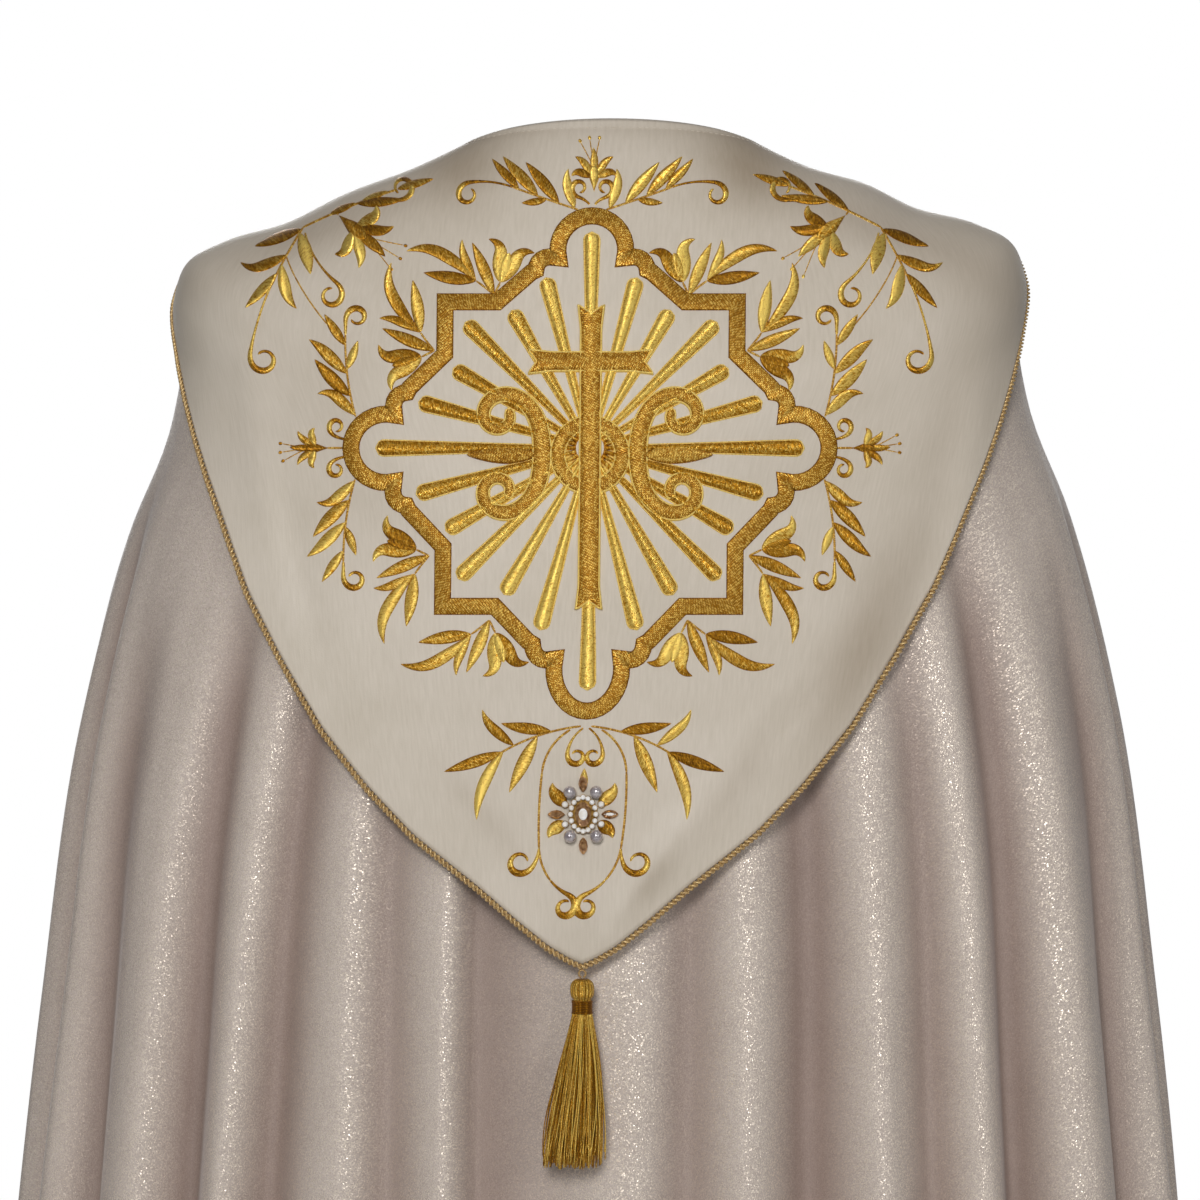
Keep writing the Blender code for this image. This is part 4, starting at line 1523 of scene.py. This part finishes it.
        def tone(across: Array, along: Array) -> Array:
            """Painted sheen by the way the strip runs, with painted shade at its edges."""
            t, i = spread(across, along)
            way = np.arctan2(heading[i, 1], heading[i, 0]) - math.radians(75)
            # painted shade where the threads dip into the cloth at the strip's edges
            edge = 0.0 if strip.stitch is Stitch.LINE else 0.34 * smooth(0.80, 1.0, np.abs(t))
            return np.clip(strip.tone + strip.painted_sheen * np.cos(2 * way) - edge, 0.0, 1.0)

        add_grid(mesh, strip.cells, count - 1, place, "stitch", uv, tone=tone)

    def build(self, finishes: dict[Stitch, Material]) -> None:
        """Sews every strip, one piece for each kind of stitch.

        Args:
            finishes: the material of each kind of stitch.
        """
        names = {Stitch.SATIN: "satin_needlework", Stitch.FILL: "fill_needlework", Stitch.LINE: "stem_needlework"}
        for stitch, name in names.items():
            mesh = bmesh.new()
            for k, strip in enumerate(self.strips):
                if strip.stitch is stitch:
                    self.sew(mesh, strip, 0.013 * (k % 17))
            finish_piece(name, mesh, finishes[stitch])


@dataclass
class HoodDesign:
    """What is embroidered: a barbed frame of four lobes, a cross on rays, sprays, fronds and lilies."""

    work: Needlework
    band_width: float = 10.0
    lobe_reach: float = 114.0
    lobe_radius: float = 19.5
    scallop: float = 7.5
    corner: float = 84.0
    arm: float = 30.0

    def frame_line(self) -> Array:
        """Draws the frame, its lower half a little longer, as the hood lies over the back.

        Returns:
            Its middle line.
        """
        reach, radius, bump = self.lobe_reach, self.lobe_radius, self.scallop
        lobe, bulge = np.radians(np.linspace(90, -14, 10)), np.radians(np.linspace(90, 0, 6))
        eighth = [(radius * math.cos(a), reach + radius * math.sin(a)) for a in lobe] + [(24.0, 109.8)]
        eighth += [(24.5 + bump * math.cos(a), 102.3 + bump * math.sin(a)) for a in bulge]
        eighth += [(34.6, 101.0), (self.corner - self.arm, self.corner)]
        quarter = eighth + [(self.corner, self.corner)] + [(b, a) for a, b in eighth[::-1]]
        right = quarter + [(a, -b) for a, b in quarter[-2::-1]]
        line = np.array(right + [(-a, b) for a, b in right[-2:0:-1]])
        low = np.minimum(line[:, 1], 0.0)
        line[:, 1] += low * 0.001 * np.abs(low)
        line[:, 0] *= np.where(np.abs(line[:, 0]) > 100, 1.03, 1.0)
        return line

    def rays(self) -> None:
        """Rays with rounded ends, padded and outlined, every fifteen degrees."""
        above = {0: 123, 15: 102, 30: 91, 45: 102, 60: 91, 75: 101, 90: 124}
        below = {0: 123, 15: 103, 30: 95, 45: 106, 60: 97, 75: 108, 90: 139}
        for k in range(24):
            degrees = 15 * k
            folded = min(degrees % 180, 180 - degrees % 180)
            length = (below if degrees > 180 else above)[folded] - 8
            angle, share = math.radians(degrees), np.linspace(0.0, 1.0, 64)
            line = self.work.along(8 * math.cos(angle), 8 * math.sin(angle), np.full(64, degrees), length)
            half = 1.3 + 3.4 * share**1.1
            half *= np.sqrt(np.clip(1 - np.clip(1 - (1 - share) * length / 4.7, 0, 1) ** 2, 0.002, 1.0))
            side = self.work.sideways(line)
            self.work.lay(line, half, 1.9, Stitch.SATIN, 0.3, 10, 0.56, 0.24)
            rim = np.vstack([line + side * half[:, None], (line - side * half[:, None])[::-1]])[2:-2]
            thin = np.full(len(rim), 0.60)
            thin[0] = thin[-1] = 0.1
            self.work.lay(rim, thin, 1.1, Stitch.LINE, 0.3, 4, 0.8)

    def cross(self) -> None:
        """A plain cross with forked ends, sewn over the rays."""
        for ends, width in ((((-31.0, 49.5), (31.0, 49.5)), 11.0), (((0.0, 77.0), (0.0, -88.0)), 12.0)):
            self.work.band(np.array(ends), width, closed=False, raised=2.6, fork=5.0)

    def scrolls(self) -> None:
        """A broad scroll with two volutes and a leaf beside the cross."""
        work = self.work
        share = np.linspace(-1.0, 1.0, 130)
        reach, sign = 93.0, -1 if work.flipped else 1
        turn = np.sign(share) * (64 * np.abs(share) + 345 * np.abs(share) ** 2.4)
        whole = work.along(0.0, 0.0, -90 + turn, 2 * reach)
        line = (whole - whole[65]) * (sign, 1) + (sign * 27.5, -4.0)
        half = 5.3 * (1 - 0.50 * np.abs(share) ** 1.2)
        half *= np.sqrt(np.clip((1 - np.abs(share)) * reach / 2.4, 0.02, 1.0))
        work.lay(line, half, 2.0, Stitch.FILL, 0.25, 10, 0.42)
        work.outline(line, work.sideways(line), half - 0.1, 2.2)
        work.leaf(31.0, -4.0, 0, 40.0, 10.5, 0, 0, 0.42, 2.3, 0.9, Stitch.FILL)

    def ring(self) -> None:
        """A plain ring behind the cross."""
        turn = np.radians(np.linspace(0, 360, 49)[:-1])
        circle = np.stack([18.5 * np.cos(turn), 18.5 * np.sin(turn) - 4.0], axis=-1)
        self.work.band(circle, 8.4, closed=True, raised=2.0)

    def sprays(self) -> None:
        """A bud and leaves at each shoulder of the frame."""
        work = self.work
        for u, v, angle, way in ((56, 88, 60, 1), (90, 56, 30, -1), (57, -99, -60, -1), (92, -62, -30, 1)):
            a, b, _ = work.stem(u, v, angle + 56 * way, 8, 0)
            work.bud(a, b, angle + 47 * way, 29)
            work.leaf(u, v, angle + 9 * way, 33, 7.4, -4 * way)
            a, b, _ = work.stem(u, v, angle - 18 * way, 13, -8 * way)
            work.leaf(a, b, angle - 54 * way, 31, 7.8, 6 * way)
            work.leaf(a, b, angle - 2 * way, 26, 5.6, 16 * way, 20 * way, 0.5)
            work.leaf(a, b, angle - 12 * way, 47, 7.6, -36 * way, -30 * way, 0.5)

    def top(self) -> None:
        """A small lily on the top lobe, with fronds and curls to both sides."""
        work = self.work
        if not work.flipped:
            work.lily(1.0, 147.0, 90, 27)
        work.tendril(1.5, 140, 50, 7, -30, 345, 24, 2.8)
        a, b, heading = work.frond(
            8, 137, 18, 40, 2,
            ((0.06, 52, 24, 6.6, 6, 30), (0.30, 34, 31, 7.4, -4, 0), (0.62, 32, 31, 7.2, -10, 8),
             (0.48, -34, 15, 4.6, 14, 0), (0.90, 30, 24, 5.6, -8, 10)),
        )
        work.tendril(a, b, heading, 24, -26, -330, 30, 3.0)

    def flanks(self) -> None:
        """A small lily beside the side lobe, with a frond up and a frond down."""
        work = self.work
        work.lily(150.0, 0.0, 0, 24)
        work.stem(142, 0, 0, 9, 0)
        for way in (1, -1):
            work.tendril(139.5, 5 * way, 2 * way, 7, 24 * way, 350 * way, 24, 2.8)
            a, b, heading = work.frond(
                135, 18 * way, 74 * way, 48, 17 * way,
                ((0.02, -26 * way, 27, 7.0, -14 * way, -50 * way), (0.26, -38 * way, 30, 8.0, 10 * way, 0),
                 (0.54, -40 * way, 30, 7.6, 4 * way, -14 * way), (0.58, 30 * way, 18, 5.4, -6 * way, 0),
                 (0.88, -34 * way, 22, 5.8, 2 * way, 0)),
            )
            work.tendril(a, b, heading, 7, -2 * way, 345 * way, 30, 3.4)

    def shoulders(self) -> None:
        """A large lily on each shoulder, among leaves and tendrils that run over it."""
        work = self.work
        work.lily(146.0, 134.0, -140, 38)
        work.stem(146, 134, 58, 3.6, 0, 1.3)
        a, b, heading = work.stem(143, 62, 44, 46, 18, 1.1)
        work.stem(a, b, heading, 14, 10, 1.1)
        work.frond(
            166, 127, -58, 44, -8,
            ((0.04, 40, 29, 6.6, -8, 10), (0.10, -50, 25, 8.4, 8, 0), (0.44, 34, 29, 6.6, 14, 50),
             (0.70, 14, 27, 6.4, 4, 0), (0.56, -30, 28, 7.4, -24, -20)),
        )
        work.tendril(184, 94, -66, 40, -14, -335, 38, 3.4)
        work.tendril(165, 124, -104, 34, -36, 335, 34, 3.3)
        upper = ((0.36, -16, 26, 5.6, 4, 0), (0.74, -18, 24, 5.2, 4, 0))
        if work.flipped:  # the left shoulder slopes away just above, so these stay low
            upper = ((0.30, -5, 17, 4.2, 9, 0), (0.64, -5, 17, 4.0, 9, 0))
        a, b, heading = work.frond(
            166, 127, 154 if work.flipped else 152, 58, 8, (*upper, (0.58, 18, 28, 5.8, -4, 0)),
        )
        work.leaf(a, b, heading, 22, 5.0, 4)
        work.tendril(126, 143, 186, 14, -8, -330, 32, 3.0)

    def foot(self) -> None:
        """The spray under the lower lobe, a looped stem round the jewel and a double scroll below it."""
        work = self.work
        work.frond(
            3, -160, -6, 50, -26,
            ((0.34, 22, 30, 7.0, 0, 8), (0.80, 62, 29, 6.4, 12, 26), (0.96, 10, 35, 7.2, 4, 0),
             (0.94, -22, 43, 7.2, -34, -8), (0.52, -44, 36, 8.0, -4, 0)),
        )
        a, b, heading = work.stem(9, -162, -30, 30, -56, 1.6)
        a, b, heading = work.stem(a, b, heading, 44, -10, 1.6)
        work.tendril(a, b, heading + 8, 8, 20, 335, 36, 3.6)
        a, b, heading = work.stem(a, b, heading, 20, -34, 1.6)
        work.tendril(a, b, heading, 13, -24, 372, 34, 4.2)
        work.tendril(1.5, -161, -34, 16, -46, -345, 26, 3.2)
        for v, angle, long in ((-206.0, 42, 17.0), (-215.0, -30, 14.0)):
            work.leaf(9.0, v, angle, long, 8.2, math.copysign(8, angle), math.copysign(44, angle), 0.42, 1.8)
        if not work.flipped:
            work.leaf(0.0, -196.0, 90, 12, 5.0, 0, 0, 0.4, 1.8)

    def lay_out(self) -> None:
        """Lays every motif, the right half and then the left."""
        work = self.work
        self.rays()
        self.ring()
        work.band(self.frame_line(), self.band_width, closed=True, outline=False, raised=1.3)
        for flipped in (False, True):
            work.flipped = flipped
            for motif in (self.scrolls, self.sprays, self.top, self.flanks, self.shoulders, self.foot):
                motif()
        work.flipped = False
        self.cross()


# --- Jewel and tassel ------------------------------------------------------------------------------------


@dataclass
class Brooch:
    """A centre stone in a ring of crystals, with pearls at the corners and pointed stones between them.
    All but the drop is in millimetres."""

    hood: Hood
    drop: float = 0.3915
    ring: tuple[float, float] = (7.2, 9.6)
    crystals: int = 16
    # half width, half length and height of each stone
    crystal: Triple = (1.75, 1.75, 1.9)
    corner: Triple = (2.1, 2.1, 2.4)
    stone: Triple = (4.6, 7.0, 2.6)
    table: Triple = (3.0, 4.0, 1.6)
    navette: Triple = (2.6, 4.9, 2.6)
    navette_table: Triple = (1.2, 3.4, 1.1)
    navette_point: float = 1.6
    pearl: float = 3.6
    pearls: tuple[float, float] = (7.5, 12.5)
    corners: tuple[float, float] = (10.2, 5.6)
    navettes: tuple = ((0.0, 17.4, 0.0), (0.0, -17.8, 0.0), (15.2, 0.0, 90.0), (-15.2, 0.0, 90.0))

    def frame(self) -> Matrix:
        """Finds the jewel's place on the hood.

        Returns:
            Its axes, to the right, up and out, and its origin.
        """
        low, high = 0.30, 0.50
        for _ in range(40):
            middle = 0.5 * (low + high)
            point = self.spot(middle, 0.0)
            low, high = (middle, high) if -point[2] < self.drop else (low, middle)
        across = Vector(self.spot(middle, -3.0) - self.spot(middle, 3.0)).normalized()
        up = Vector(self.spot(middle - 0.015, 0.0) - self.spot(middle + 0.015, 0.0)).normalized()
        out = across.cross(up).normalized()
        place = Matrix((across, out.cross(across), out)).transposed().to_4x4()
        place.translation = Vector(point)
        return place

    def spot(self, fall: float, angle: float) -> Array:
        """A point of the hood's outer face."""
        return self.hood.point(np.array([fall]), np.array([angle]), self.hood.wall)[0]

    @staticmethod
    def gem(mesh: Mesh, place: Matrix, size: Triple, sides: int, pointed: float = 1.0) -> None:
        """Adds a cut stone: a girdle, a slanting crown and a flat table.

        Args:
            mesh: the bmesh that gets it.
            place: where it sits.
            size: half width, half length and height.
            sides: facets round it.
            pointed: over 1 to draw its ends to points.
        """
        width, length, height = size
        made = bmesh.ops.create_cone(
            mesh, cap_ends=True, cap_tris=False, segments=sides, radius1=1.0, radius2=1.0, depth=0.3
        )["verts"]
        top, = {f for v in made for f in v.link_faces if f.normal.z > 0.9 and len(f.verts) == sides}
        crown = bmesh.ops.inset_individual(mesh, faces=[top], thickness=0.26, depth=0.34)["faces"]
        table = bmesh.ops.inset_individual(mesh, faces=[top], thickness=0.20, depth=0.20)["faces"]
        touched = {v for f in [*crown, *table, top] for v in f.verts} | set(made)
        tall = max(v.co.z for v in touched)
        for vertex in touched:
            x, y, z = vertex.co
            taper = (abs(x) / max(1e-9, math.hypot(x, y))) ** (pointed - 1.0)
            vertex.co = Vector((x * width * taper, y * length, (z + 0.15) / (tall + 0.15) * height)) * MM
            vertex.co = place @ vertex.co

    @staticmethod
    def cup(mesh: Mesh, place: Matrix, radius: float, height: float, long: float = 1.0) -> None:
        """Adds the metal cup that a stone sits in.

        Args:
            mesh: the bmesh that gets it.
            place: where it sits.
            radius: its rim's radius.
            height: its height.
            long: its length for its width.
        """
        made = bmesh.ops.create_cone(
            mesh, cap_ends=True, segments=16, radius1=radius * 0.9, radius2=radius, depth=height
        )["verts"]
        for vertex in made:
            x, y, z = vertex.co
            vertex.co = place @ (Vector((x, y * long, z + height / 2)) * MM)

    def build(self, setting: Material, crystal: Material, topaz: Material, pearl: Material) -> None:
        """Builds the setting, the stones and the pearls.

        Args:
            setting: the metal of the plate and the cups.
            crystal: the clear stones.
            topaz: the amber stones.
            pearl: the pearls.
        """
        place = self.frame()
        metal, clear, amber, beads = bmesh.new(), bmesh.new(), bmesh.new(), bmesh.new()

        def seat(x: float, y: float, z: float) -> Matrix:
            """A place on the jewel: right, up and out."""
            return place @ Matrix.Translation((x * MM, y * MM, z * MM))

        width, length = self.ring[0] + 1.0, self.ring[1] + 1.0
        bmesh.ops.create_cone(metal, cap_ends=True, segments=40, radius1=1.0, radius2=0.97, depth=1.0)
        for v in metal.verts:  # the plate under the stones
            x, y, z = v.co
            v.co = place @ (Vector((x * width, y * length, (z + 0.5) * 1.2 + 0.1)) * MM)
        for k in range(self.crystals):
            turn = 2 * math.pi * k / self.crystals
            spot = seat(self.ring[0] * math.cos(turn), self.ring[1] * math.sin(turn), 1.3)
            self.gem(clear, spot, self.crystal, 8)
            self.cup(metal, spot, self.crystal[0] * 1.02, 1.0)
        signs = ((1, 1), (-1, 1), (1, -1), (-1, -1))
        for x, y in signs:
            spot = seat(x * self.corners[0], y * self.corners[1], 0.5)
            self.gem(clear, spot, self.corner, 8)
            self.cup(metal, spot, 2.15, 1.3)
        self.gem(amber, seat(0.0, 0.0, 2.2), self.stone, 16)
        self.gem(clear, seat(0.0, 0.0, 3.8), self.table, 16)
        self.cup(metal, seat(0.0, 0.0, 1.2), self.stone[0] * 1.06, 1.9, 1.52)
        for x, y, turn in self.navettes:
            spot = seat(x, y, 0.4) @ Matrix.Rotation(math.radians(turn), 4, "Z")
            self.gem(amber, spot, self.navette, 12, self.navette_point)
            self.cup(metal, spot, 2.4, 0.9, 1.85)
            if x > 0:  # its broad table
                top = spot @ Matrix.Translation((0.0, 0.0, 1.8 * MM))
                self.gem(clear, top, self.navette_table, 12, self.navette_point)
        for x, y in signs:
            spot = seat(x * self.pearls[0], y * self.pearls[1], self.pearl + 0.2)
            bmesh.ops.create_uvsphere(beads, u_segments=32, v_segments=20, radius=self.pearl * MM, matrix=spot)
        for face in beads.faces:
            face.smooth = True
        finish_piece("brooch_setting", metal, setting, ["brooch"])
        finish_piece("brooch_crystals", clear, crystal, ["centre_stone"])
        finish_piece("brooch_navettes", amber, topaz, [f"navette_{k}" for k in range(1, 5)])
        finish_piece("brooch_pearls", beads, pearl, [f"pearl_{k}" for k in range(1, 5)])


@dataclass
class Tassel:
    """Cord loop, rounded head, bound neck and a skirt of fine strands."""

    hood: Hood
    loop_height: float = 4.2 * MM
    loop_width: float = 3.8 * MM
    head_radius: float = 6.6 * MM
    head_height: float = 11.5 * MM
    binding_radius: float = 5.4 * MM
    binding_height: float = 7.5 * MM
    length: float = 0.087
    root: float = 5.2 * MM
    spread: float = 17.0 * MM
    lean: float = 5.5 * MM
    out: float = 6.0 * MM
    flat: float = 0.62
    head_threads: int = 92
    binding_turns: int = 8
    strands: int = 340
    strand: float = 0.36 * MM

    def top(self) -> Vector:
        """Finds where the loop starts.

        Returns:
            A point just below the hood's point.
        """
        fall = self.hood.edge_at(np.array([0.0]))
        point = self.hood.point(fall, np.array([0.0]), self.hood.wall / 2)[0]
        return Vector(point) + Vector((0.0, 0.0, -3.2 * MM))

    def head_width(self, drop: Array) -> Array:
        """Radius of the head and the bound neck.

        Args:
            drop: lengths below the head's top.

        Returns:
            The radius at each.
        """
        rise = np.abs((drop - 5.9 * MM) / (6.5 * MM))
        head = self.head_radius * np.clip(1 - rise**2.8, 0.0, 1.0) ** 0.45
        return np.where(drop < self.head_height, np.maximum(head, 1.1 * MM), self.binding_radius * 0.93)

    def build(self, cord: Material, thread: Material) -> None:
        """Builds the loop, then the tassel.

        Args:
            cord: the loop's yarn.
            thread: the tassel's thread.
        """
        top, turns = self.top(), np.radians(np.linspace(-75, 255, 40))
        x = top.x + self.loop_width / 2 * np.cos(turns)
        z = top.z + (np.sin(turns) - 1) * self.loop_height / 2 - 0.4 * MM
        ring = bmesh.new()
        for ply in range(2):
            wind = (0.32 * MM, 2.6 * MM, math.pi * ply)
            add_cord(ring, np.stack([x, np.full(40, top.y), z], axis=-1), 0.42 * MM, steps=60, wind=wind)
        finish_piece("tassel_cord_loop", ring, cord, ["tassel_loop"])

        start = np.array(top) + (0.0, 0.0, -self.loop_height - 1.5 * MM)
        neck = self.head_height + self.binding_height
        mesh = bmesh.new()
        drops = np.linspace(0.0, neck, 30)
        core = start + np.stack([np.zeros(30), np.zeros(30), -drops], axis=-1)
        add_cord(mesh, core, lambda t: 0.93 * self.head_width(t * neck), sides=28, steps=40)
        for k in range(self.head_threads):
            turn = 2 * math.pi * k / self.head_threads + 0.04 * math.sin(5 * k)
            width = self.head_width(drops) + 0.06 * MM * math.sin(7 * k)
            wrap = core + np.stack([width * math.cos(turn), width * math.sin(turn), np.zeros(30)], axis=-1)
            tone = 0.45 + 0.3 * math.sin(3.7 * k)
            add_cord(mesh, wrap, 0.27 * MM, sides=4, steps=18, tone=tone, shift=0.0017 * k)
        turn = np.linspace(0.0, 2 * math.pi, 41)
        for k in range(self.binding_turns):
            drop = self.head_height + 0.5 * MM + k * 0.92 * MM
            radius = self.binding_radius + (0.25 * MM if k in (0, self.binding_turns - 1) else 0.0)
            lap = [radius * np.cos(turn), radius * np.sin(turn), np.full(41, -drop) - 0.9 * MM * turn / 6.28]
            add_cord(mesh, start + np.stack(lap, axis=-1), 0.52 * MM, steps=40, tone=0.0)
        finish_piece("tassel_head", mesh, thread, ["tassel"])

        skirt = bmesh.new()
        golden = math.pi * (3 - math.sqrt(5))
        levels = np.linspace(0.0, 1.0, 15)
        for k in range(self.strands):
            share, turn = math.sqrt((k + 0.5) / self.strands), golden * k
            ragged = 1.0 - 0.07 * (math.sin(12.9 * k) * 0.5 + 0.5) * (0.4 + share)
            spread = self.root + (self.spread - self.root) * np.sin(levels * math.pi / 2)
            sway = np.sin(levels * (3.0 + 2.2 * math.sin(k)) + 3.0 * math.sin(2.3 * k)) * levels
            swing = np.sin(levels * (6.0 + 2.0 * math.sin(1.7 * k)) + 5.1 * k) * levels**0.7
            x = share * spread * math.cos(turn) + self.lean * levels**1.3 + 1.3 * MM * sway
            y = share * spread * (1 - (1 - self.flat) * levels) * math.sin(turn) + self.out * levels
            z = -neck + 1.0 * MM - levels * self.length * ragged
            path = start + np.stack([x + 0.5 * MM * swing, y + 0.6 * MM * sway, z], axis=-1)
            tone = 0.45 + 0.42 * math.sin(7.3 * k) * math.sin(2.9 * k + 1.0)
            add_cord(skirt, path, self.strand, sides=4, steps=14, tone=tone, shift=0.0031 * k)
        finish_piece("tassel_skirt", skirt, thread)


# --- Studio ----------------------------------------------------------------------------------------------


@dataclass
class Studio:
    """Pale floor, soft lights and the camera, level with the middle of the hood and behind the wearer."""

    seen_width: float = 0.69
    hood_distance: float = 2.0
    sensor: float = 36.0
    floor: float = -1.43
    floor_radius: float = 2.3
    lights: tuple = (
        # name, place, aim, size, watts
        ("key", (0.35, 2.9, 0.75), (0.0, 0.1, -0.4), 0.8, 47.0),
        ("fill", (-1.5, 2.5, 0.3), (0.0, 0.1, -0.4), 0.9, 10.0),
        ("top", (0.1, 0.9, 1.8), (0.0, 0.05, -0.3), 0.9, 4.0),
        ("front", (0.1, -2.8, 0.2), (0.0, -0.1, -0.6), 1.6, 34.0),
    )

    def build(self) -> None:
        """Builds the floor, lights, sky and camera."""
        mesh = bmesh.new()
        bmesh.ops.create_circle(mesh, cap_ends=True, segments=96, radius=self.floor_radius)
        bmesh.ops.translate(mesh, verts=mesh.verts, vec=(0.0, 0.0, self.floor))
        link_mesh("studio_floor", mesh, Backdrop().make())
        for name, place, aim, size, watts in self.lights:
            lamp = bpy.data.lights.new(name, "AREA")
            lamp.energy, lamp.size = watts, size
            holder = link(name, lamp)
            holder.location = place
            holder.rotation_euler = (Vector(aim) - Vector(place)).to_track_quat("-Z", "Y").to_euler()
        self.sky()
        camera = bpy.data.cameras.new("camera")
        camera.sensor_width = self.sensor
        camera.lens = self.sensor * self.hood_distance / self.seen_width
        holder = link("camera", camera)
        holder.location = EYE
        holder.rotation_euler = (math.radians(90), 0.0, math.radians(180))
        bpy.context.scene.camera = holder
        bpy.context.scene.view_settings.view_transform = "Standard"

    def sky(self) -> None:
        """White behind the wearer's front, a soft grey everywhere else."""
        world = bpy.data.worlds.new("studio")
        world.use_nodes = True
        bpy.context.scene.world = world
        tree = world.node_tree
        way = add_node(tree, "SeparateXYZ", {"Vector": add_node(tree, "TexCoord", out="Generated")}, "Y")
        cone = add_node(tree, "MapRange", {"Value": way, "From Min": -0.80, "From Max": -0.93})
        tints = {"Factor": cone, "A": linear("#606062"), "B": linear("#ffffff")}
        colour = add_node(tree, "Mix", tints, "Result", data_type="RGBA")
        connect(tree, tree.nodes["Background"], {"Color": colour})


def main() -> None:
    """Builds every sub-assembly in order."""
    logging.basicConfig(level=logging.INFO, format="%(name)s %(message)s", force=True)
    form = WornForm()
    lurex, ivory, cord = LurexCloth().make(), SlubSatin().make(), MetalCord().make()
    threads = {
        stitch: GoldThread(stitch.value, *values).make()
        for stitch, values in (
            (Stitch.SATIN, ("#6e4202", "#cd8e16", "#ffdc70", 0.8 * MM, 0.6, 0.31, 0.75, 0.65, 0.25)),
            (Stitch.FILL, ("#6a3c00", "#b97f14", "#f1cb66", 0.9 * MM, 0.6, 0.40, 0.65, 0.3, 0.6,
                           (1.15 * MM, 1.15 * MM), 38.0, 1.0)),
            (Stitch.LINE, ("#7d4f10", "#cf9830", "#fbdc7a", 0.9 * MM, 0.6, 0.36, 0.40, 0.2, 0.3)),
        )
    }
    Cloak(form).build(lurex)
    ClaspBand(form).build(lurex)
    hood = Hood(form)
    hood.build(ivory)
    EdgeCord(hood).build(cord)
    NeckStitching(hood).build(ivory)
    work = Needlework(hood)
    HoodDesign(work).lay_out()
    work.build(threads)
    Brooch(hood).build(
        Jewel("gilt_brass_cast", "#4c3416", "#94723c", 0.30, 1.0).make(),
        Jewel("lead_crystal_foil_backed", "#f1ebe0", "#ffffff", 0.10, 0.0, 1.0).make(),
        Jewel("topaz_glass_cut", "#85532a", "#e2b27c", 0.07, 0.6, 1.0).make(),
        Jewel("glass_pearl_coated", "#9a9094", "#c9c2c2", 0.14, 0.35, 1.0).make(),
    )
    Tassel(hood).build(cord, threads[Stitch.SATIN])
    Studio().build()


if __name__ == "__main__":
    main()
